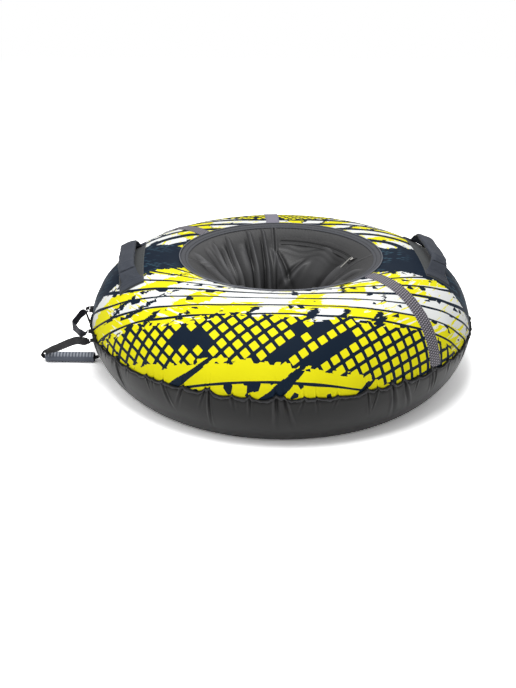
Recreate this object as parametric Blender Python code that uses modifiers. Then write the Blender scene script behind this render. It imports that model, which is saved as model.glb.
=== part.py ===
"""Inflatable snow tube: a fabric cover over an inner tube, with side handles and a tow handle.

Metres, +Z up. The origin is the centre of the flat underside, on the ground.
The camera side of the tube is -Y. Azimuths are counted from +X towards +Y.
"""
import math

import bmesh
import bpy
from mathutils import Matrix, Vector

# Inflated ring: half the ring's section is an ellipse, cut flat by the ground
ring_outer_radius = 0.525
ring_half_width = 0.200
ring_half_height = 0.183
ring_axis_height = 0.140
ring_centre_radius = ring_outer_radius - ring_half_width
column_count = 36
column_angle = math.radians(360 / column_count)
first_column_angle = math.radians(5)
row_angle = math.radians(8)
coarse_row_angle = 2 * row_angle
touch_gap = 0.0004
overrun = 0.010
weld_distance = 0.00001
crease_angle = math.radians(35)
cloth_crease_angle = math.radians(60)

# Cover, of a printed top and a heavy slippery bottom, sewn together just above the widest line
top_cloth = 0.0010
bottom_cloth = 0.0012
seam_height = 0.154
rim_radius = 0.267
seam_gap = 0.0006
binding_half_height = 0.0055
binding_bulge = 0.0045
gather_depth = 0.0015

# Inner tube and its valve, reached through the zip
tube_wall = 0.0018
valve_row = 12
valve_sides = 16
valve_azimuth = math.radians(50)
valve_hole_radius = 0.0040
valve_patch_radius = 0.0110
valve_patch_thickness = 0.0020
valve_stem_radius = 0.0036
valve_bore_radius = 0.0024
valve_stem_length = 0.0150
valve_core_radius = 0.0019
valve_core_length = 0.0110
valve_cap_radius = 0.0052
valve_cap_length = 0.0090
valve_cap_wall = 0.0011

# Seat: four cloth panels hung inside the ring, on a round base
seat_cloth = 0.0010
seat_slack = 0.0065
seat_leave_angle = math.radians(136)
seat_wall_angle = math.radians(176)
seat_waist_radius = 0.106
seat_waist_height = 0.100
seat_low_radius = 0.092
seat_low_height = 0.055
seat_base_radius = 0.070
seat_base_height = 0.024
seat_seam_gap = 0.0005
panel_count = 4
panel_columns = 18
fold_depth = 0.0050
fold_count_shares = (2, 4, 3, 3)
fold_start_angle = math.radians(124)
zip_panel_fold_start_angle = math.radians(142)

# Rim: a sewn facing band with a round piping along its outer edge
facing_thickness = 0.0014
facing_outer_width = 0.0086
facing_inner_width = 0.0128
piping_radius = 0.0019
piping_sides = 6

# Woven tapes sewn across the top cover
tape_width = 0.040
tape_thickness = 0.0012
tape_rim_gap = 0.0018
tape_seam_gap = 0.0055
tape_azimuths = {
    "tape_front_right": (math.radians(-35.5), math.radians(-43.5)),
    "tape_back": (math.radians(95), math.radians(95)),
    "tape_back_left": (math.radians(142.5), math.radians(142.5)),
}

# Side handles
handle_azimuths = {"left": math.radians(187), "right": math.radians(4)}
handle_section_angle = math.radians(65.5)
patch_length = 0.320
patch_width = 0.072
patch_thickness = 0.0014
hinge_height = 0.017
grip_half_length = 0.1035
crown_height = 0.027
bend_length = 0.024
bend_rise_share = 0.86
bend_station_shares = (1.0, 0.7, 0.4, 0.15)
middle_station_share = 0.35
grip_share_step = 0.004
sleeve_width = 0.046
sleeve_thickness = 0.0120
sleeve_pinch_thickness = 0.0060
sleeve_cloth = 0.0011
sleeve_chamfer = 0.0032
chamfer_depth_share = 0.7
grip_web_width = 0.035
grip_web_thickness = 0.0020
foam_half_length = 0.078
foam_side_gap = 0.0010
anchor_thickness = 0.0016
anchor_sewn_length = 0.036
anchor_gap = 0.0005
anchor_foot_end = 0.152
anchor_rise_length = 0.020
anchor_sink_share = 0.8

# Tow loop: a doubled webbing standing out of the seam
loop_middle_azimuth = math.radians(190.75)
loop_half_span = 0.0715
loop_tab_length = 0.0080
loop_web_width = 0.025
loop_web_thickness = 0.0024
loop_reach = 0.0435
loop_droop = 0.010
# Half of the loop's route: shares of its reach, of its half span, and of the webbing's quarter turn.
# It leaves its tab nearly straight and flat, so that its edges stay clear of the tab as it flops.
loop_half_route = (
    (0.0, 1.0, 0.0), (0.23, 0.98, 0.25), (0.51, 0.75, 0.82),
    (0.78, 0.42, 1.0), (0.95, 0.17, 1.0), (1.0, 0.0, 1.0),
)

# Tow handle: a webbing strap sewn to the seam at both ends, with a ribbed grip
strap_middle_azimuth = math.radians(191.75)
strap_half_span = 0.1125
strap_tab_length = 0.0120
strap_web_width = 0.022
strap_web_thickness = 0.0022
strap_anchor_height = 0.150
web_pressed_thickness = 0.0012
web_hinge_gap = 0.0008
web_steps = 3
tow_grip_radius = 0.0140
tow_grip_bore_radius = 0.0118
tow_grip_length = 0.140
tow_grip_ground_gap = 0.0005
tow_grip_height = tow_grip_radius + tow_grip_ground_gap
# From the middle of the hinge line to the middle of the grip, along world X and Y
tow_grip_reach = (-0.0816, 0.0662)
tow_grip_rib_count = 14
tow_grip_rib_depth = 0.0010
tow_grip_end_length = 0.006
tow_grip_sides = 12

# Zip in the seat wall
zip_section_angle = math.radians(126.5)
zip_start_azimuth = math.radians(10)
zip_end_azimuth = math.radians(90)
zip_columns = 16
zip_tape_width = 0.0125
zip_tape_thickness = 0.0006
zip_chain_width = 0.0040
zip_chain_thickness = 0.0014
zip_chain_gap = 0.0004
zip_slider_azimuth = math.radians(12.5)
slider_length = 0.0120
slider_width = 0.0095
slider_thickness = 0.0028
slider_clearance = 0.0006
slider_bridge_radius = 0.0021
slider_bridge_wire = 0.0006
pull_length = 0.038
pull_width = 0.0036
pull_thickness = 0.0012
pull_eye_radius = 0.0013
pull_eye_wire = 0.00045
pull_droop = math.radians(10)
wire_ring_sides = 12
wire_sides = 6

colours = {
    "printed_cloth": ((0.90, 0.86, 0.08), 0.60, 0.0),
    "bottom_cloth": ((0.060, 0.060, 0.062), 0.45, 0.0),
    "seat_cloth": ((0.068, 0.068, 0.070), 0.55, 0.0),
    "binding": ((0.030, 0.030, 0.034), 0.65, 0.0),
    "piping": ((0.140, 0.140, 0.150), 0.55, 0.0),
    "woven_tape": ((0.300, 0.290, 0.330), 0.60, 0.0),
    "handle_cloth": ((0.075, 0.080, 0.095), 0.70, 0.0),
    "patch_cloth": ((0.095, 0.098, 0.092), 0.75, 0.0),
    "tow_webbing": ((0.030, 0.030, 0.034), 0.65, 0.0),
    "grip_rubber": ((0.070, 0.075, 0.090), 0.50, 0.0),
    "tube_rubber": ((0.020, 0.020, 0.020), 0.55, 0.0),
    "foam": ((0.160, 0.160, 0.170), 0.90, 0.0),
    "zip_cloth": ((0.035, 0.035, 0.037), 0.75, 0.0),
    "zip_metal": ((0.450, 0.440, 0.420), 0.35, 1.0),
    "pull_cord": ((0.420, 0.410, 0.380), 0.60, 0.0),
    "valve_brass": ((0.600, 0.450, 0.220), 0.35, 1.0),
    "valve_plastic": ((0.020, 0.020, 0.020), 0.45, 0.0),
}

for old_object in list(bpy.data.objects):
    bpy.data.objects.remove(old_object, do_unlink=True)

parts = bpy.data.collections.new("snow_tube")
cutters = bpy.data.collections.new("snow_tube_cutters")
bpy.context.scene.collection.children.link(parts)
bpy.context.scene.collection.children.link(cutters)


def material(name):
    """One Principled material, shared by the pieces of that kind."""
    made = bpy.data.materials.get(name)
    if made is None:
        colour, roughness, metallic = colours[name]
        made = bpy.data.materials.new(name)
        made.use_nodes = True
        shader = made.node_tree.nodes["Principled BSDF"]
        shader.inputs["Base Color"].default_value = (*colour, 1.0)
        shader.inputs["Roughness"].default_value = roughness
        shader.inputs["Metallic"].default_value = metallic
    return made


def add_part(name, mesh, finish, matrix=None, parent=None):
    """An object in the parts collection, placed in the world, with an optional parent empty."""
    part = bpy.data.objects.new(name, mesh)
    parts.objects.link(part)
    mesh.materials.clear()
    mesh.materials.append(material(finish))
    if parent is not None:
        part.parent = parent
        part.matrix_parent_inverse = parent.matrix_world.inverted()
    part.matrix_world = matrix if matrix is not None else Matrix.Identity(4)
    return part


def add_cutter(name, mesh, matrix=None):
    cutter = bpy.data.objects.new(name, mesh)
    cutters.objects.link(cutter)
    cutter.matrix_world = matrix if matrix is not None else Matrix.Identity(4)
    cutter.display_type = "WIRE"
    cutter.hide_render = True
    return cutter


def add_empty(name, matrix, parent=None):
    """The axis that a moving body turns or slides on: its local Z axis for most joints."""
    empty = bpy.data.objects.new(name, None)
    parts.objects.link(empty)
    if parent is not None:
        empty.parent = parent
        empty.matrix_parent_inverse = parent.matrix_world.inverted()
    empty.matrix_world = matrix
    return empty


def frame_matrix(x_axis, y_axis, z_axis, origin):
    """The matrix of a frame from its three axes and its origin."""
    return Matrix([(x_axis[k], y_axis[k], z_axis[k], origin[k]) for k in range(3)]
                  + [(0.0, 0.0, 0.0, 1.0)])


def mesh_from(bm, name):
    mesh = bpy.data.meshes.new(name)
    bmesh.ops.recalc_face_normals(bm, faces=bm.faces)
    bm.to_mesh(mesh)
    bm.free()
    return mesh


def evaluated_mesh(source, name):
    """The mesh that an object's modifiers give, in the object's own space."""
    bpy.context.view_layer.update()
    graph = bpy.context.evaluated_depsgraph_get()
    mesh = bpy.data.meshes.new_from_object(source.evaluated_get(graph))
    mesh.name = name
    return mesh


def boolean(part, cutter, operation):
    cut = part.modifiers.new(operation.lower(), "BOOLEAN")
    cut.operation = operation
    cut.object = cutter


def smooth(part, angle=crease_angle):
    part.data.shade_smooth()
    part.data.set_sharp_from_angle(angle=angle)


def solidify(part, thickness, offset):
    wall = part.modifiers.new("cloth", "SOLIDIFY")
    wall.thickness = thickness
    wall.offset = offset
    wall.use_even_offset = True


def box_mesh(name, size, centre=(0.0, 0.0, 0.0)):
    bm = bmesh.new()
    bmesh.ops.create_cube(bm, size=1.0)
    bmesh.ops.scale(bm, vec=size, verts=bm.verts)
    bmesh.ops.translate(bm, vec=centre, verts=bm.verts)
    return mesh_from(bm, name)


def cylinder_mesh(name, radius, low, high, sides):
    """A capped cylinder along Z between two heights."""
    bm = bmesh.new()
    bmesh.ops.create_cone(bm, cap_ends=True, segments=sides, radius1=radius, radius2=radius,
                          depth=high - low)
    bmesh.ops.translate(bm, vec=(0.0, 0.0, (high + low) / 2), verts=bm.verts)
    return mesh_from(bm, name)


# Section of the ring

def floor_angle(offset):
    """Section angle where the ellipse, moved out by offset, meets the flat underside."""
    return math.asin((-offset - ring_axis_height) / (ring_half_height + offset))


def ring_point(angle, offset=0.0):
    """A point (radius, height) on the ring's section, moved out of the cover by offset."""
    radius = ring_centre_radius + (ring_half_width + offset) * math.cos(angle)
    height = ring_axis_height + (ring_half_height + offset) * math.sin(angle)
    return radius, max(height, -offset)


def ring_normal(angle):
    """Outward unit normal (radial, vertical) of the section."""
    normal = Vector((math.cos(angle) / ring_half_width, math.sin(angle) / ring_half_height))
    return normal.normalized()


def rows(start, end, step=row_angle):
    """Section angles from start to end: both ends, and the shared rows between them."""
    low, high = min(start, end), max(start, end)
    first = math.floor(low / step) + 1
    last = math.ceil(high / step) - 1
    inner = [step * k for k in range(first, last + 1)]
    angles = [low] + inner + [high]
    return angles if start < end else angles[::-1]


def angle_at_radius(radius):
    """Section angle on the upper side of the ring at a radius."""
    return math.acos((radius - ring_centre_radius) / ring_half_width)


seam_angle = math.asin((seam_height - ring_axis_height) / ring_half_height)
rim_angle = angle_at_radius(rim_radius)
seam_gap_angle = seam_gap / ring_half_width
facing_outer_angle = rim_angle - facing_outer_width / ring_half_width
facing_inner_angle = rim_angle + facing_inner_width / ring_half_width
tape_inner_angle = facing_outer_angle - (2 * piping_radius + tape_rim_gap) / ring_half_width
tape_inner_radius = ring_point(tape_inner_angle)[0]
tape_outer_radius = ring_outer_radius - tape_seam_gap


def world_point(azimuth, radius, height):
    return Vector((radius * math.cos(azimuth), radius * math.sin(azimuth), height))


# Turned pieces

def outline_mesh(name, loops, closed=True):
    """The edges of one or more outlines of (radius, height) points, in the XZ plane."""
    bm = bmesh.new()
    for loop in loops:
        points = [bm.verts.new((radius, 0.0, height)) for radius, height in loop]
        for a, b in zip(points, points[1:]):
            bm.edges.new((a, b))
        if closed:
            bm.edges.new((points[-1], points[0]))
    mesh = bpy.data.meshes.new(name)
    bm.to_mesh(mesh)
    bm.free()
    return mesh


def turn_about_z(part, steps, angle=2 * math.pi):
    """Turn an outline about the object's Z axis, through a whole turn or a part of one."""
    screw = part.modifiers.new("turn", "SCREW")
    screw.angle = angle
    screw.steps = steps
    screw.render_steps = steps
    screw.use_merge_vertices = angle == 2 * math.pi
    screw.merge_threshold = weld_distance


def turned(name, outline, finish, closed=True, steps=column_count):
    """Turn an outline of (radius, height) points, which runs down its outer side, about Z."""
    turn = Matrix.Rotation(first_column_angle, 4, "Z")
    piece = add_part(name, outline_mesh(name, [outline], closed), finish, turn)
    turn_about_z(piece, steps)
    return piece


def wire_ring(name, radius, wire_radius, ring_sides, sides):
    """The mesh of a round ring of wire about Z."""
    bpy.ops.mesh.primitive_torus_add(major_segments=ring_sides, minor_segments=sides,
                                     major_radius=radius, minor_radius=wire_radius)
    ring = bpy.context.object
    mesh = ring.data
    bpy.data.objects.remove(ring, do_unlink=True)
    mesh.name = name
    return mesh


def skin_outline(start, end, low, high):
    """A band of the ring's surface, from section angle start to end, between two offsets."""
    outer = [ring_point(angle, high) for angle in rows(start, end)]
    inner = [ring_point(angle, low) for angle in rows(end, start)]
    return outer + inner


def make_cover():
    outline = skin_outline(rim_angle, seam_angle + seam_gap_angle, -top_cloth, 0.0)
    smooth(turned("cover_top", outline, "printed_cloth"))
    start = seam_angle - seam_gap_angle
    outer = [ring_point(angle, 0.0) for angle in rows(start, floor_angle(0.0))] + [(0.0, 0.0)]
    inner_floor = floor_angle(-bottom_cloth)
    inner = [ring_point(angle, -bottom_cloth) for angle in rows(inner_floor, start)]
    outline = [(0.0, bottom_cloth)] + inner + outer
    smooth(turned("cover_bottom", outline, "bottom_cloth", closed=False))


def make_inner_tube():
    """A hollow rubber ring, flat where it stands, with a hole for its valve."""
    def section(offset):
        low = floor_angle(offset)
        return [ring_point(angle, offset) for angle in rows(math.pi - low, low, coarse_row_angle)]
    outer_offset = -(bottom_cloth + touch_gap)
    walls = [section(outer_offset), section(outer_offset - tube_wall)[::-1]]
    turn = Matrix.Rotation(first_column_angle, 4, "Z")
    tube = add_part("inner_tube", outline_mesh("inner_tube", walls), "tube_rubber", turn)
    turn_about_z(tube, column_count)
    hole = cylinder_mesh("valve_hole", valve_hole_radius, -overrun, overrun, valve_sides)
    boolean(tube, add_cutter("valve_hole", hole, valve_matrix()), "DIFFERENCE")
    smooth(tube)


def gathered_ring(name, outline, finish, push_from, is_part=True):
    """A turned ring with a point at the middle of each column, pushed out at the column ends.

    Only outline points that stand further out than push_from are gathered.
    """
    base = turned(name + "_smooth", outline, finish, steps=2 * column_count)
    mesh = evaluated_mesh(base, name)
    bpy.data.objects.remove(base, do_unlink=True)
    flat = math.cos(column_angle / 2)
    for vertex in mesh.vertices:
        radius = math.hypot(vertex.co.x, vertex.co.y)
        turn = math.atan2(vertex.co.y, vertex.co.x) / column_angle
        is_middle = round(2 * turn) % 2 == 1
        gathered = radius > push_from
        new_radius = radius * flat if is_middle else radius + (gather_depth if gathered else 0.0)
        vertex.co.x *= new_radius / radius
        vertex.co.y *= new_radius / radius
    turn_matrix = Matrix.Rotation(first_column_angle, 4, "Z")
    if is_part:
        return add_part(name, mesh, finish, turn_matrix)
    return add_cutter(name, mesh, turn_matrix)


def make_seam_binding():
    """The gathered welt that hides the seam between the two halves of the cover."""
    half = binding_half_height / ring_half_width
    low, high = seam_angle - half, seam_angle + half
    outline = [
        ring_point(high, touch_gap + gather_depth),
        ring_point(seam_angle + half / 2, binding_bulge),
        ring_point(seam_angle - half / 2, binding_bulge),
        ring_point(low, touch_gap + gather_depth),
        ring_point(low, touch_gap),
        ring_point(seam_angle, touch_gap),
        ring_point(high, touch_gap),
    ]
    push_from = ring_point(seam_angle, touch_gap + gather_depth / 2)[0]
    smooth(gathered_ring("seam_binding", outline, "binding", push_from))


def make_seam_clearance(height):
    """A cutter that holds the cover, its seam binding and a small gap round them."""
    half = height / ring_half_width
    reach = binding_bulge + touch_gap
    inside = ring_centre_radius
    outline = [
        (inside, ring_axis_height + height),
        ring_point(seam_angle + half, reach),
        ring_point(seam_angle, reach),
        ring_point(seam_angle - half, reach),
        (inside, ring_axis_height - height),
    ]
    push_from = ring_centre_radius + 3 * ring_half_width / 4
    return gathered_ring("seam_clearance", outline, "binding", push_from, is_part=False)


# Seat

def seat_offset(angle):
    """How far the seat cloth hangs clear of the ring at a section angle."""
    share = (angle - seat_leave_angle) / (seat_wall_angle - seat_leave_angle)
    share = min(max(2 * share, 0.0), 1.0)
    return seat_slack * share * share * (3 - 2 * share)


def seat_angles():
    """Section angles of a seat panel: close rows where it lies on the ring, then coarser ones."""
    start = rim_angle + seam_gap_angle
    return rows(start, seat_leave_angle) + rows(seat_leave_angle, seat_wall_angle,
                                                coarse_row_angle)[1:]


def seat_outline():
    """Points of a seat panel from its rim down to its base, on the face that is sat on."""
    points = [ring_point(angle, seat_offset(angle)) for angle in seat_angles()]
    points.append((seat_waist_radius, seat_waist_height))
    points.append((seat_low_radius, seat_low_height))
    points.append((seat_base_radius + seat_seam_gap, seat_base_height))
    return points


def fold_push(row, row_count, column, folds, start_row):
    """Depth of the folds at a grid point: none at the seams, the rim and the base."""
    along = column / panel_columns
    down = (row - start_row) / (row_count - 1 - start_row)
    if down <= 0.0:
        return 0.0
    envelope = math.sin(math.pi * min(down, 1.0)) * math.sin(math.pi * along)
    return fold_depth * envelope * math.cos(2 * math.pi * folds * along)


def make_seat_panel(index, name):
    """A quarter of the seat wall, turned from its outline, then folded as cloth hangs."""
    outline = seat_outline()
    half_gap = seat_seam_gap / 2
    profile = add_part(name + "_outline", outline_mesh(name, [outline], closed=False), "seat_cloth")
    turn_about_z(profile, panel_columns, 2 * math.pi / panel_count)
    swept = evaluated_mesh(profile, name)
    bpy.data.objects.remove(profile, do_unlink=True)

    row_count = len(outline)
    fold_start = zip_panel_fold_start_angle if index == 0 else fold_start_angle
    start_row = sum(1 for angle in seat_angles() if angle < fold_start)
    flat_rows = sum(1 for angle in seat_angles() if angle <= seat_leave_angle)
    for vertex in swept.vertices:
        radius = math.hypot(vertex.co.x, vertex.co.y)
        azimuth = math.atan2(vertex.co.y, vertex.co.x)
        column = azimuth / screw_step()
        row = min(range(row_count),
                  key=lambda k: abs(outline[k][0] - radius) + abs(outline[k][1] - vertex.co.z))
        push = fold_push(row, row_count, column, fold_count_shares[index], start_row)
        inner = 1.0 - max(push, 0.0) / radius
        # Beside the rim the cloth keeps to the flat columns of the cover
        if row < flat_rows and round(column) % 2 == 1:
            inner *= math.cos(column_angle / 2)
        trim = half_gap / radius
        span = 2 * math.pi / panel_count
        trimmed = trim + azimuth * (span - 2 * trim) / span
        vertex.co.x = radius * inner * math.cos(trimmed)
        vertex.co.y = radius * inner * math.sin(trimmed)
    turn = first_column_angle + index * 2 * math.pi / panel_count
    panel = add_part(name, swept, "seat_cloth", Matrix.Rotation(turn, 4, "Z"))
    solidify(panel, seat_cloth, 1.0)
    smooth(panel, cloth_crease_angle)


def screw_step():
    return 2 * math.pi / panel_count / panel_columns


def make_seat():
    names = ("seat_panel_back_right", "seat_panel_back_left",
             "seat_panel_front_left", "seat_panel_front_right")
    for index, name in enumerate(names):
        make_seat_panel(index, name)
    top = seat_base_height + seat_cloth / 2
    outline = [
        (0.0, top),
        (seat_base_radius - seat_seam_gap, top),
        (seat_base_radius - seat_seam_gap, top - seat_cloth),
        (0.0, top - seat_cloth),
    ]
    smooth(turned("seat_base", outline, "seat_cloth", closed=False))


def make_rim():
    outline = skin_outline(facing_inner_angle, facing_outer_angle, touch_gap,
                           touch_gap + facing_thickness)
    smooth(turned("rim_facing", outline, "seat_cloth"))
    lift = touch_gap + piping_radius
    edge = piping_radius + 2 * touch_gap
    radius, height = ring_point(facing_outer_angle - edge / ring_half_width, lift)
    ring = wire_ring("rim_piping", radius, piping_radius, column_count, piping_sides)
    turn = Matrix.Rotation(first_column_angle, 4, "Z")
    smooth(add_part("rim_piping", ring, "piping", Matrix.Translation((0.0, 0.0, height)) @ turn))


def make_tapes():
    """Each tape is the strip of a thin skin over the cover that lies inside a straight slab."""
    for name, (inner_azimuth, outer_azimuth) in tape_azimuths.items():
        low = touch_gap
        outline = skin_outline(tape_inner_angle, angle_at_radius(tape_outer_radius), low,
                               low + tape_thickness)
        tape = turned(name, outline, "woven_tape")
        start = world_point(inner_azimuth, tape_inner_radius - overrun, ring_axis_height)
        end = world_point(outer_azimuth, tape_outer_radius + overrun, ring_axis_height)
        run = end - start
        slab = box_mesh(name + "_slab", (run.length, tape_width, 3 * ring_half_height),
                        (run.length / 2, 0.0, 0.0))
        heading = Matrix.Rotation(math.atan2(run.y, run.x), 4, "Z")
        matrix = Matrix.Translation(start) @ heading
        boolean(tape, add_cutter(name + "_slab", slab, matrix), "INTERSECT")


# Swept strips

def loft(name, rings):
    """A closed solid through a list of rings with the same number of points, with flat ends."""
    bm = bmesh.new()
    loops = [[bm.verts.new(point) for point in ring] for ring in rings]
    for a, b in zip(loops, loops[1:]):
        for k in range(len(a)):
            j = (k + 1) % len(a)
            bm.faces.new((a[k], a[j], b[j], b[k]))
    bm.faces.new(loops[0][::-1])
    bm.faces.new(loops[-1])
    return mesh_from(bm, name)


def loft_tube(name, outer_rings, inner_rings):
    """A hollow sleeve between two sets of rings, open at both ends."""
    bm = bmesh.new()
    outer = [[bm.verts.new(point) for point in ring] for ring in outer_rings]
    inner = [[bm.verts.new(point) for point in ring] for ring in inner_rings]
    count = len(outer[0])
    for k in range(count):
        j = (k + 1) % count
        for a, b in zip(outer, outer[1:]):
            bm.faces.new((a[k], a[j], b[j], b[k]))
        for a, b in zip(inner, inner[1:]):
            bm.faces.new((a[j], a[k], b[k], b[j]))
        bm.faces.new((outer[0][j], outer[0][k], inner[0][k], inner[0][j]))
        bm.faces.new((outer[-1][k], outer[-1][j], inner[-1][j], inner[-1][k]))
    return mesh_from(bm, name)


def spline(points, steps):
    """Catmull-Rom curve through the points, with a number of steps between neighbours."""
    ends = [points[0] * 2 - points[1]] + list(points) + [points[-1] * 2 - points[-2]]
    curve = []
    for p0, p1, p2, p3 in zip(ends, ends[1:], ends[2:], ends[3:]):
        for step in range(steps):
            t = step / steps
            curve.append(0.5 * (2 * p1 + (p2 - p0) * t + (2 * p0 - 5 * p1 + 4 * p2 - p3) * t * t
                                + (3 * p1 - p0 - 3 * p2 + p3) * t ** 3))
    curve.append(points[-1].copy())
    return curve


def web_rings(points, widths, width, thickness):
    """Rectangular sections of a webbing along a route, across the given width directions.

    Both ends are pressed thin, and their edges lie along the hinge line that they turn on.
    """
    rings = []
    last = len(points) - 1
    for index, (point, across) in enumerate(zip(points, widths)):
        before, after = points[max(index - 1, 0)], points[min(index + 1, last)]
        along = (after - before).normalized()
        is_end = index in (0, last)
        side = across if is_end else across - along * across.dot(along)
        side = side.normalized() * (width / 2)
        thick = web_pressed_thickness if is_end else thickness
        up = along.cross(side).normalized() * (thick / 2)
        rings.append([point + side + up, point - side + up, point - side - up, point + side - up])
    return rings


# Side handles

def handle_frame(azimuth):
    """Frame on the cover: X down the ring's outer slope, Y along the handle, Z off the cover."""
    radius, height = ring_point(handle_section_angle)
    radial, up = ring_normal(handle_section_angle)
    out = Vector((math.cos(azimuth), math.sin(azimuth), 0.0))
    along = Vector((-math.sin(azimuth), math.cos(azimuth), 0.0))
    z_axis = radial * out + Vector((0.0, 0.0, up))
    x_axis = up * out - Vector((0.0, 0.0, radial))
    origin = out * radius + Vector((0.0, 0.0, height))
    return frame_matrix(x_axis, along, z_axis, origin)


def cover_height(along):
    """Height of the cover under a handle, in the handle's frame, at a distance along it."""
    radius, height = ring_point(handle_section_angle)
    radial, up = ring_normal(handle_section_angle)
    here = math.hypot(radius, along)
    share = (here - ring_centre_radius) / ring_half_width
    surface = ring_axis_height + ring_half_height * math.sqrt(1.0 - share * share)
    return (surface - height) * up


def arch_point(share):
    """Centre line of the grip, for a share from -1 to 1 of its half length."""
    along = share * grip_half_length
    rest = max(grip_half_length - abs(along), 0.0) / bend_length
    rise = 1.0 - (1.0 - min(rest, 1.0)) ** 2
    bow = bend_rise_share * rise + (1.0 - bend_rise_share) * (1.0 - share ** 2)
    return Vector((0.0, along, hinge_height + (crown_height - hinge_height) * bow))


def sleeve_depth(share):
    """Thickness of the sleeve: pinched at its ends, full over the foam."""
    rest = (1.0 - abs(share)) * grip_half_length / bend_length
    full = min(rest, 1.0)
    blend = full * full * (3 - 2 * full)
    return sleeve_pinch_thickness + (sleeve_thickness - sleeve_pinch_thickness) * blend


def arch_shares(limit=1.0):
    """Stations along the grip, closer together in its bends."""
    bend = bend_length / grip_half_length
    half = [0.0, middle_station_share] + [1.0 - k * bend for k in bend_station_shares]
    kept = [share for share in half if share < limit - grip_share_step] + [limit]
    return [-share for share in kept[:0:-1]] + kept


def arch_ring(share, half_width, half_depth, chamfer, shift=0.0):
    """An eight-sided section across the grip at a station, square to its centre line."""
    before = arch_point(max(share - grip_share_step, -1.0))
    after = arch_point(min(share + grip_share_step, 1.0))
    along = (after - before).normalized()
    x_axis = Vector((1.0, 0.0, 0.0))
    up = x_axis.cross(along).normalized()
    if up.z < 0.0:
        up = -up
    centre = arch_point(share) + up * shift
    if abs(share) == 1.0:
        up = Vector((0.0, 0.0, 1.0))
    c = min(chamfer, chamfer_depth_share * half_depth)
    corners = [
        (half_width, half_depth - c), (half_width - c, half_depth),
        (c - half_width, half_depth), (-half_width, half_depth - c),
        (-half_width, c - half_depth), (c - half_width, -half_depth),
        (half_width - c, -half_depth), (half_width, c - half_depth),
    ]
    return [centre + x_axis * x + up * z for x, z in corners]


def make_handle_patch(side, frame):
    """Base patch: the part of a skin over the cover inside a straight box."""
    name = "handle_" + side + "_patch"
    half_turn = patch_width / ring_half_width
    outline = skin_outline(handle_section_angle + half_turn, handle_section_angle - half_turn,
                           touch_gap, touch_gap + patch_thickness)
    patch = turned(name, outline, "patch_cloth")
    tall = 2 * patch_width
    box = box_mesh(name + "_box", (patch_width, patch_length, tall))
    boolean(patch, add_cutter(name + "_box", box, frame), "INTERSECT")


def make_handle_anchor(side, end, frame):
    """Sewn end of the handle's strap: a foot on the patch that rises to the grip's hinge line."""
    sign = 1.0 if end == "front" else -1.0
    if side == "right":
        sign = -sign
    name = "handle_" + side + "_anchor_" + end
    half_turn = patch_width / ring_half_width
    low = 2 * touch_gap + patch_thickness
    outline = skin_outline(handle_section_angle + half_turn, handle_section_angle - half_turn,
                           low, low + anchor_thickness)
    foot = turned(name, outline, "handle_cloth")
    start = anchor_foot_end - anchor_sewn_length
    box = box_mesh(name + "_box", (sleeve_width, anchor_sewn_length, 2 * patch_width),
                   (0.0, sign * (start + anchor_sewn_length / 2), 0.0))
    boolean(foot, add_cutter(name + "_box", box, frame), "INTERSECT")

    sewn = low + anchor_sink_share * anchor_thickness
    hinge_side = grip_half_length + anchor_gap
    foot_at = start + anchor_thickness
    points = [
        Vector((0.0, sign * (foot_at + anchor_rise_length / 2),
                cover_height(foot_at + anchor_rise_length / 2) + sewn)),
        Vector((0.0, sign * foot_at, cover_height(foot_at) + sewn + anchor_thickness)),
        Vector((0.0, sign * (foot_at + hinge_side) / 2,
                (cover_height(foot_at) + sewn + hinge_height) / 2)),
        Vector((0.0, sign * hinge_side, hinge_height)),
    ]
    rings = []
    for index, point in enumerate(points):
        before, after = points[max(index - 1, 0)], points[min(index + 1, len(points) - 1)]
        along = (after - before).normalized()
        up = Vector((1.0, 0.0, 0.0)).cross(along).normalized() * (anchor_thickness / 2)
        if index == len(points) - 1:
            up = Vector((0.0, 0.0, anchor_thickness / 2 * (1.0 if up.z > 0 else -1.0)))
        x_axis = Vector((sleeve_width / 2 - touch_gap, 0.0, 0.0))
        rings.append([point + x_axis + up, point - x_axis + up,
                      point - x_axis - up, point + x_axis - up])
    riser = add_cutter(name + "_riser", loft(name + "_riser", rings), frame)
    boolean(foot, riser, "UNION")


def make_handle(side):
    frame = handle_frame(handle_azimuths[side])
    make_handle_patch(side, frame)
    for end in ("front", "rear"):
        make_handle_anchor(side, end, frame)
    lift = Matrix.Translation((0.0, 0.0, hinge_height))
    hinge = add_empty("handle_" + side + "_hinge", frame @ lift)

    half_width = sleeve_width / 2
    stations = arch_shares()
    outer = [arch_ring(s, half_width, sleeve_depth(s) / 2, sleeve_chamfer) for s in stations]
    inner = [arch_ring(s, half_width - sleeve_cloth, sleeve_depth(s) / 2 - sleeve_cloth,
                       sleeve_chamfer) for s in stations]
    name = "handle_" + side + "_sleeve"
    sleeve = add_part(name, loft_tube(name, outer, inner), "handle_cloth", frame, hinge)
    smooth(sleeve)

    def web_shift(share):
        return grip_web_thickness / 2 + touch_gap + sleeve_cloth - sleeve_depth(share) / 2
    half_web = grip_web_thickness / 2
    rings = [arch_ring(s, grip_web_width / 2, half_web, half_web / 2, web_shift(s))
             for s in stations]
    name = "handle_" + side + "_webbing"
    add_part(name, loft(name, rings), "tow_webbing", frame, hinge)

    rings = []
    for share in arch_shares(foam_half_length / grip_half_length):
        floor = web_shift(share) + half_web + touch_gap
        ceiling = sleeve_depth(share) / 2 - sleeve_cloth - touch_gap
        rings.append(arch_ring(share, half_width - sleeve_cloth - foam_side_gap,
                               (ceiling - floor) / 2, sleeve_chamfer, (ceiling + floor) / 2))
    name = "handle_" + side + "_foam"
    foam = add_part(name, loft(name, rings), "foam", frame, hinge)
    smooth(foam)


# Tow loop and tow handle

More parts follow.
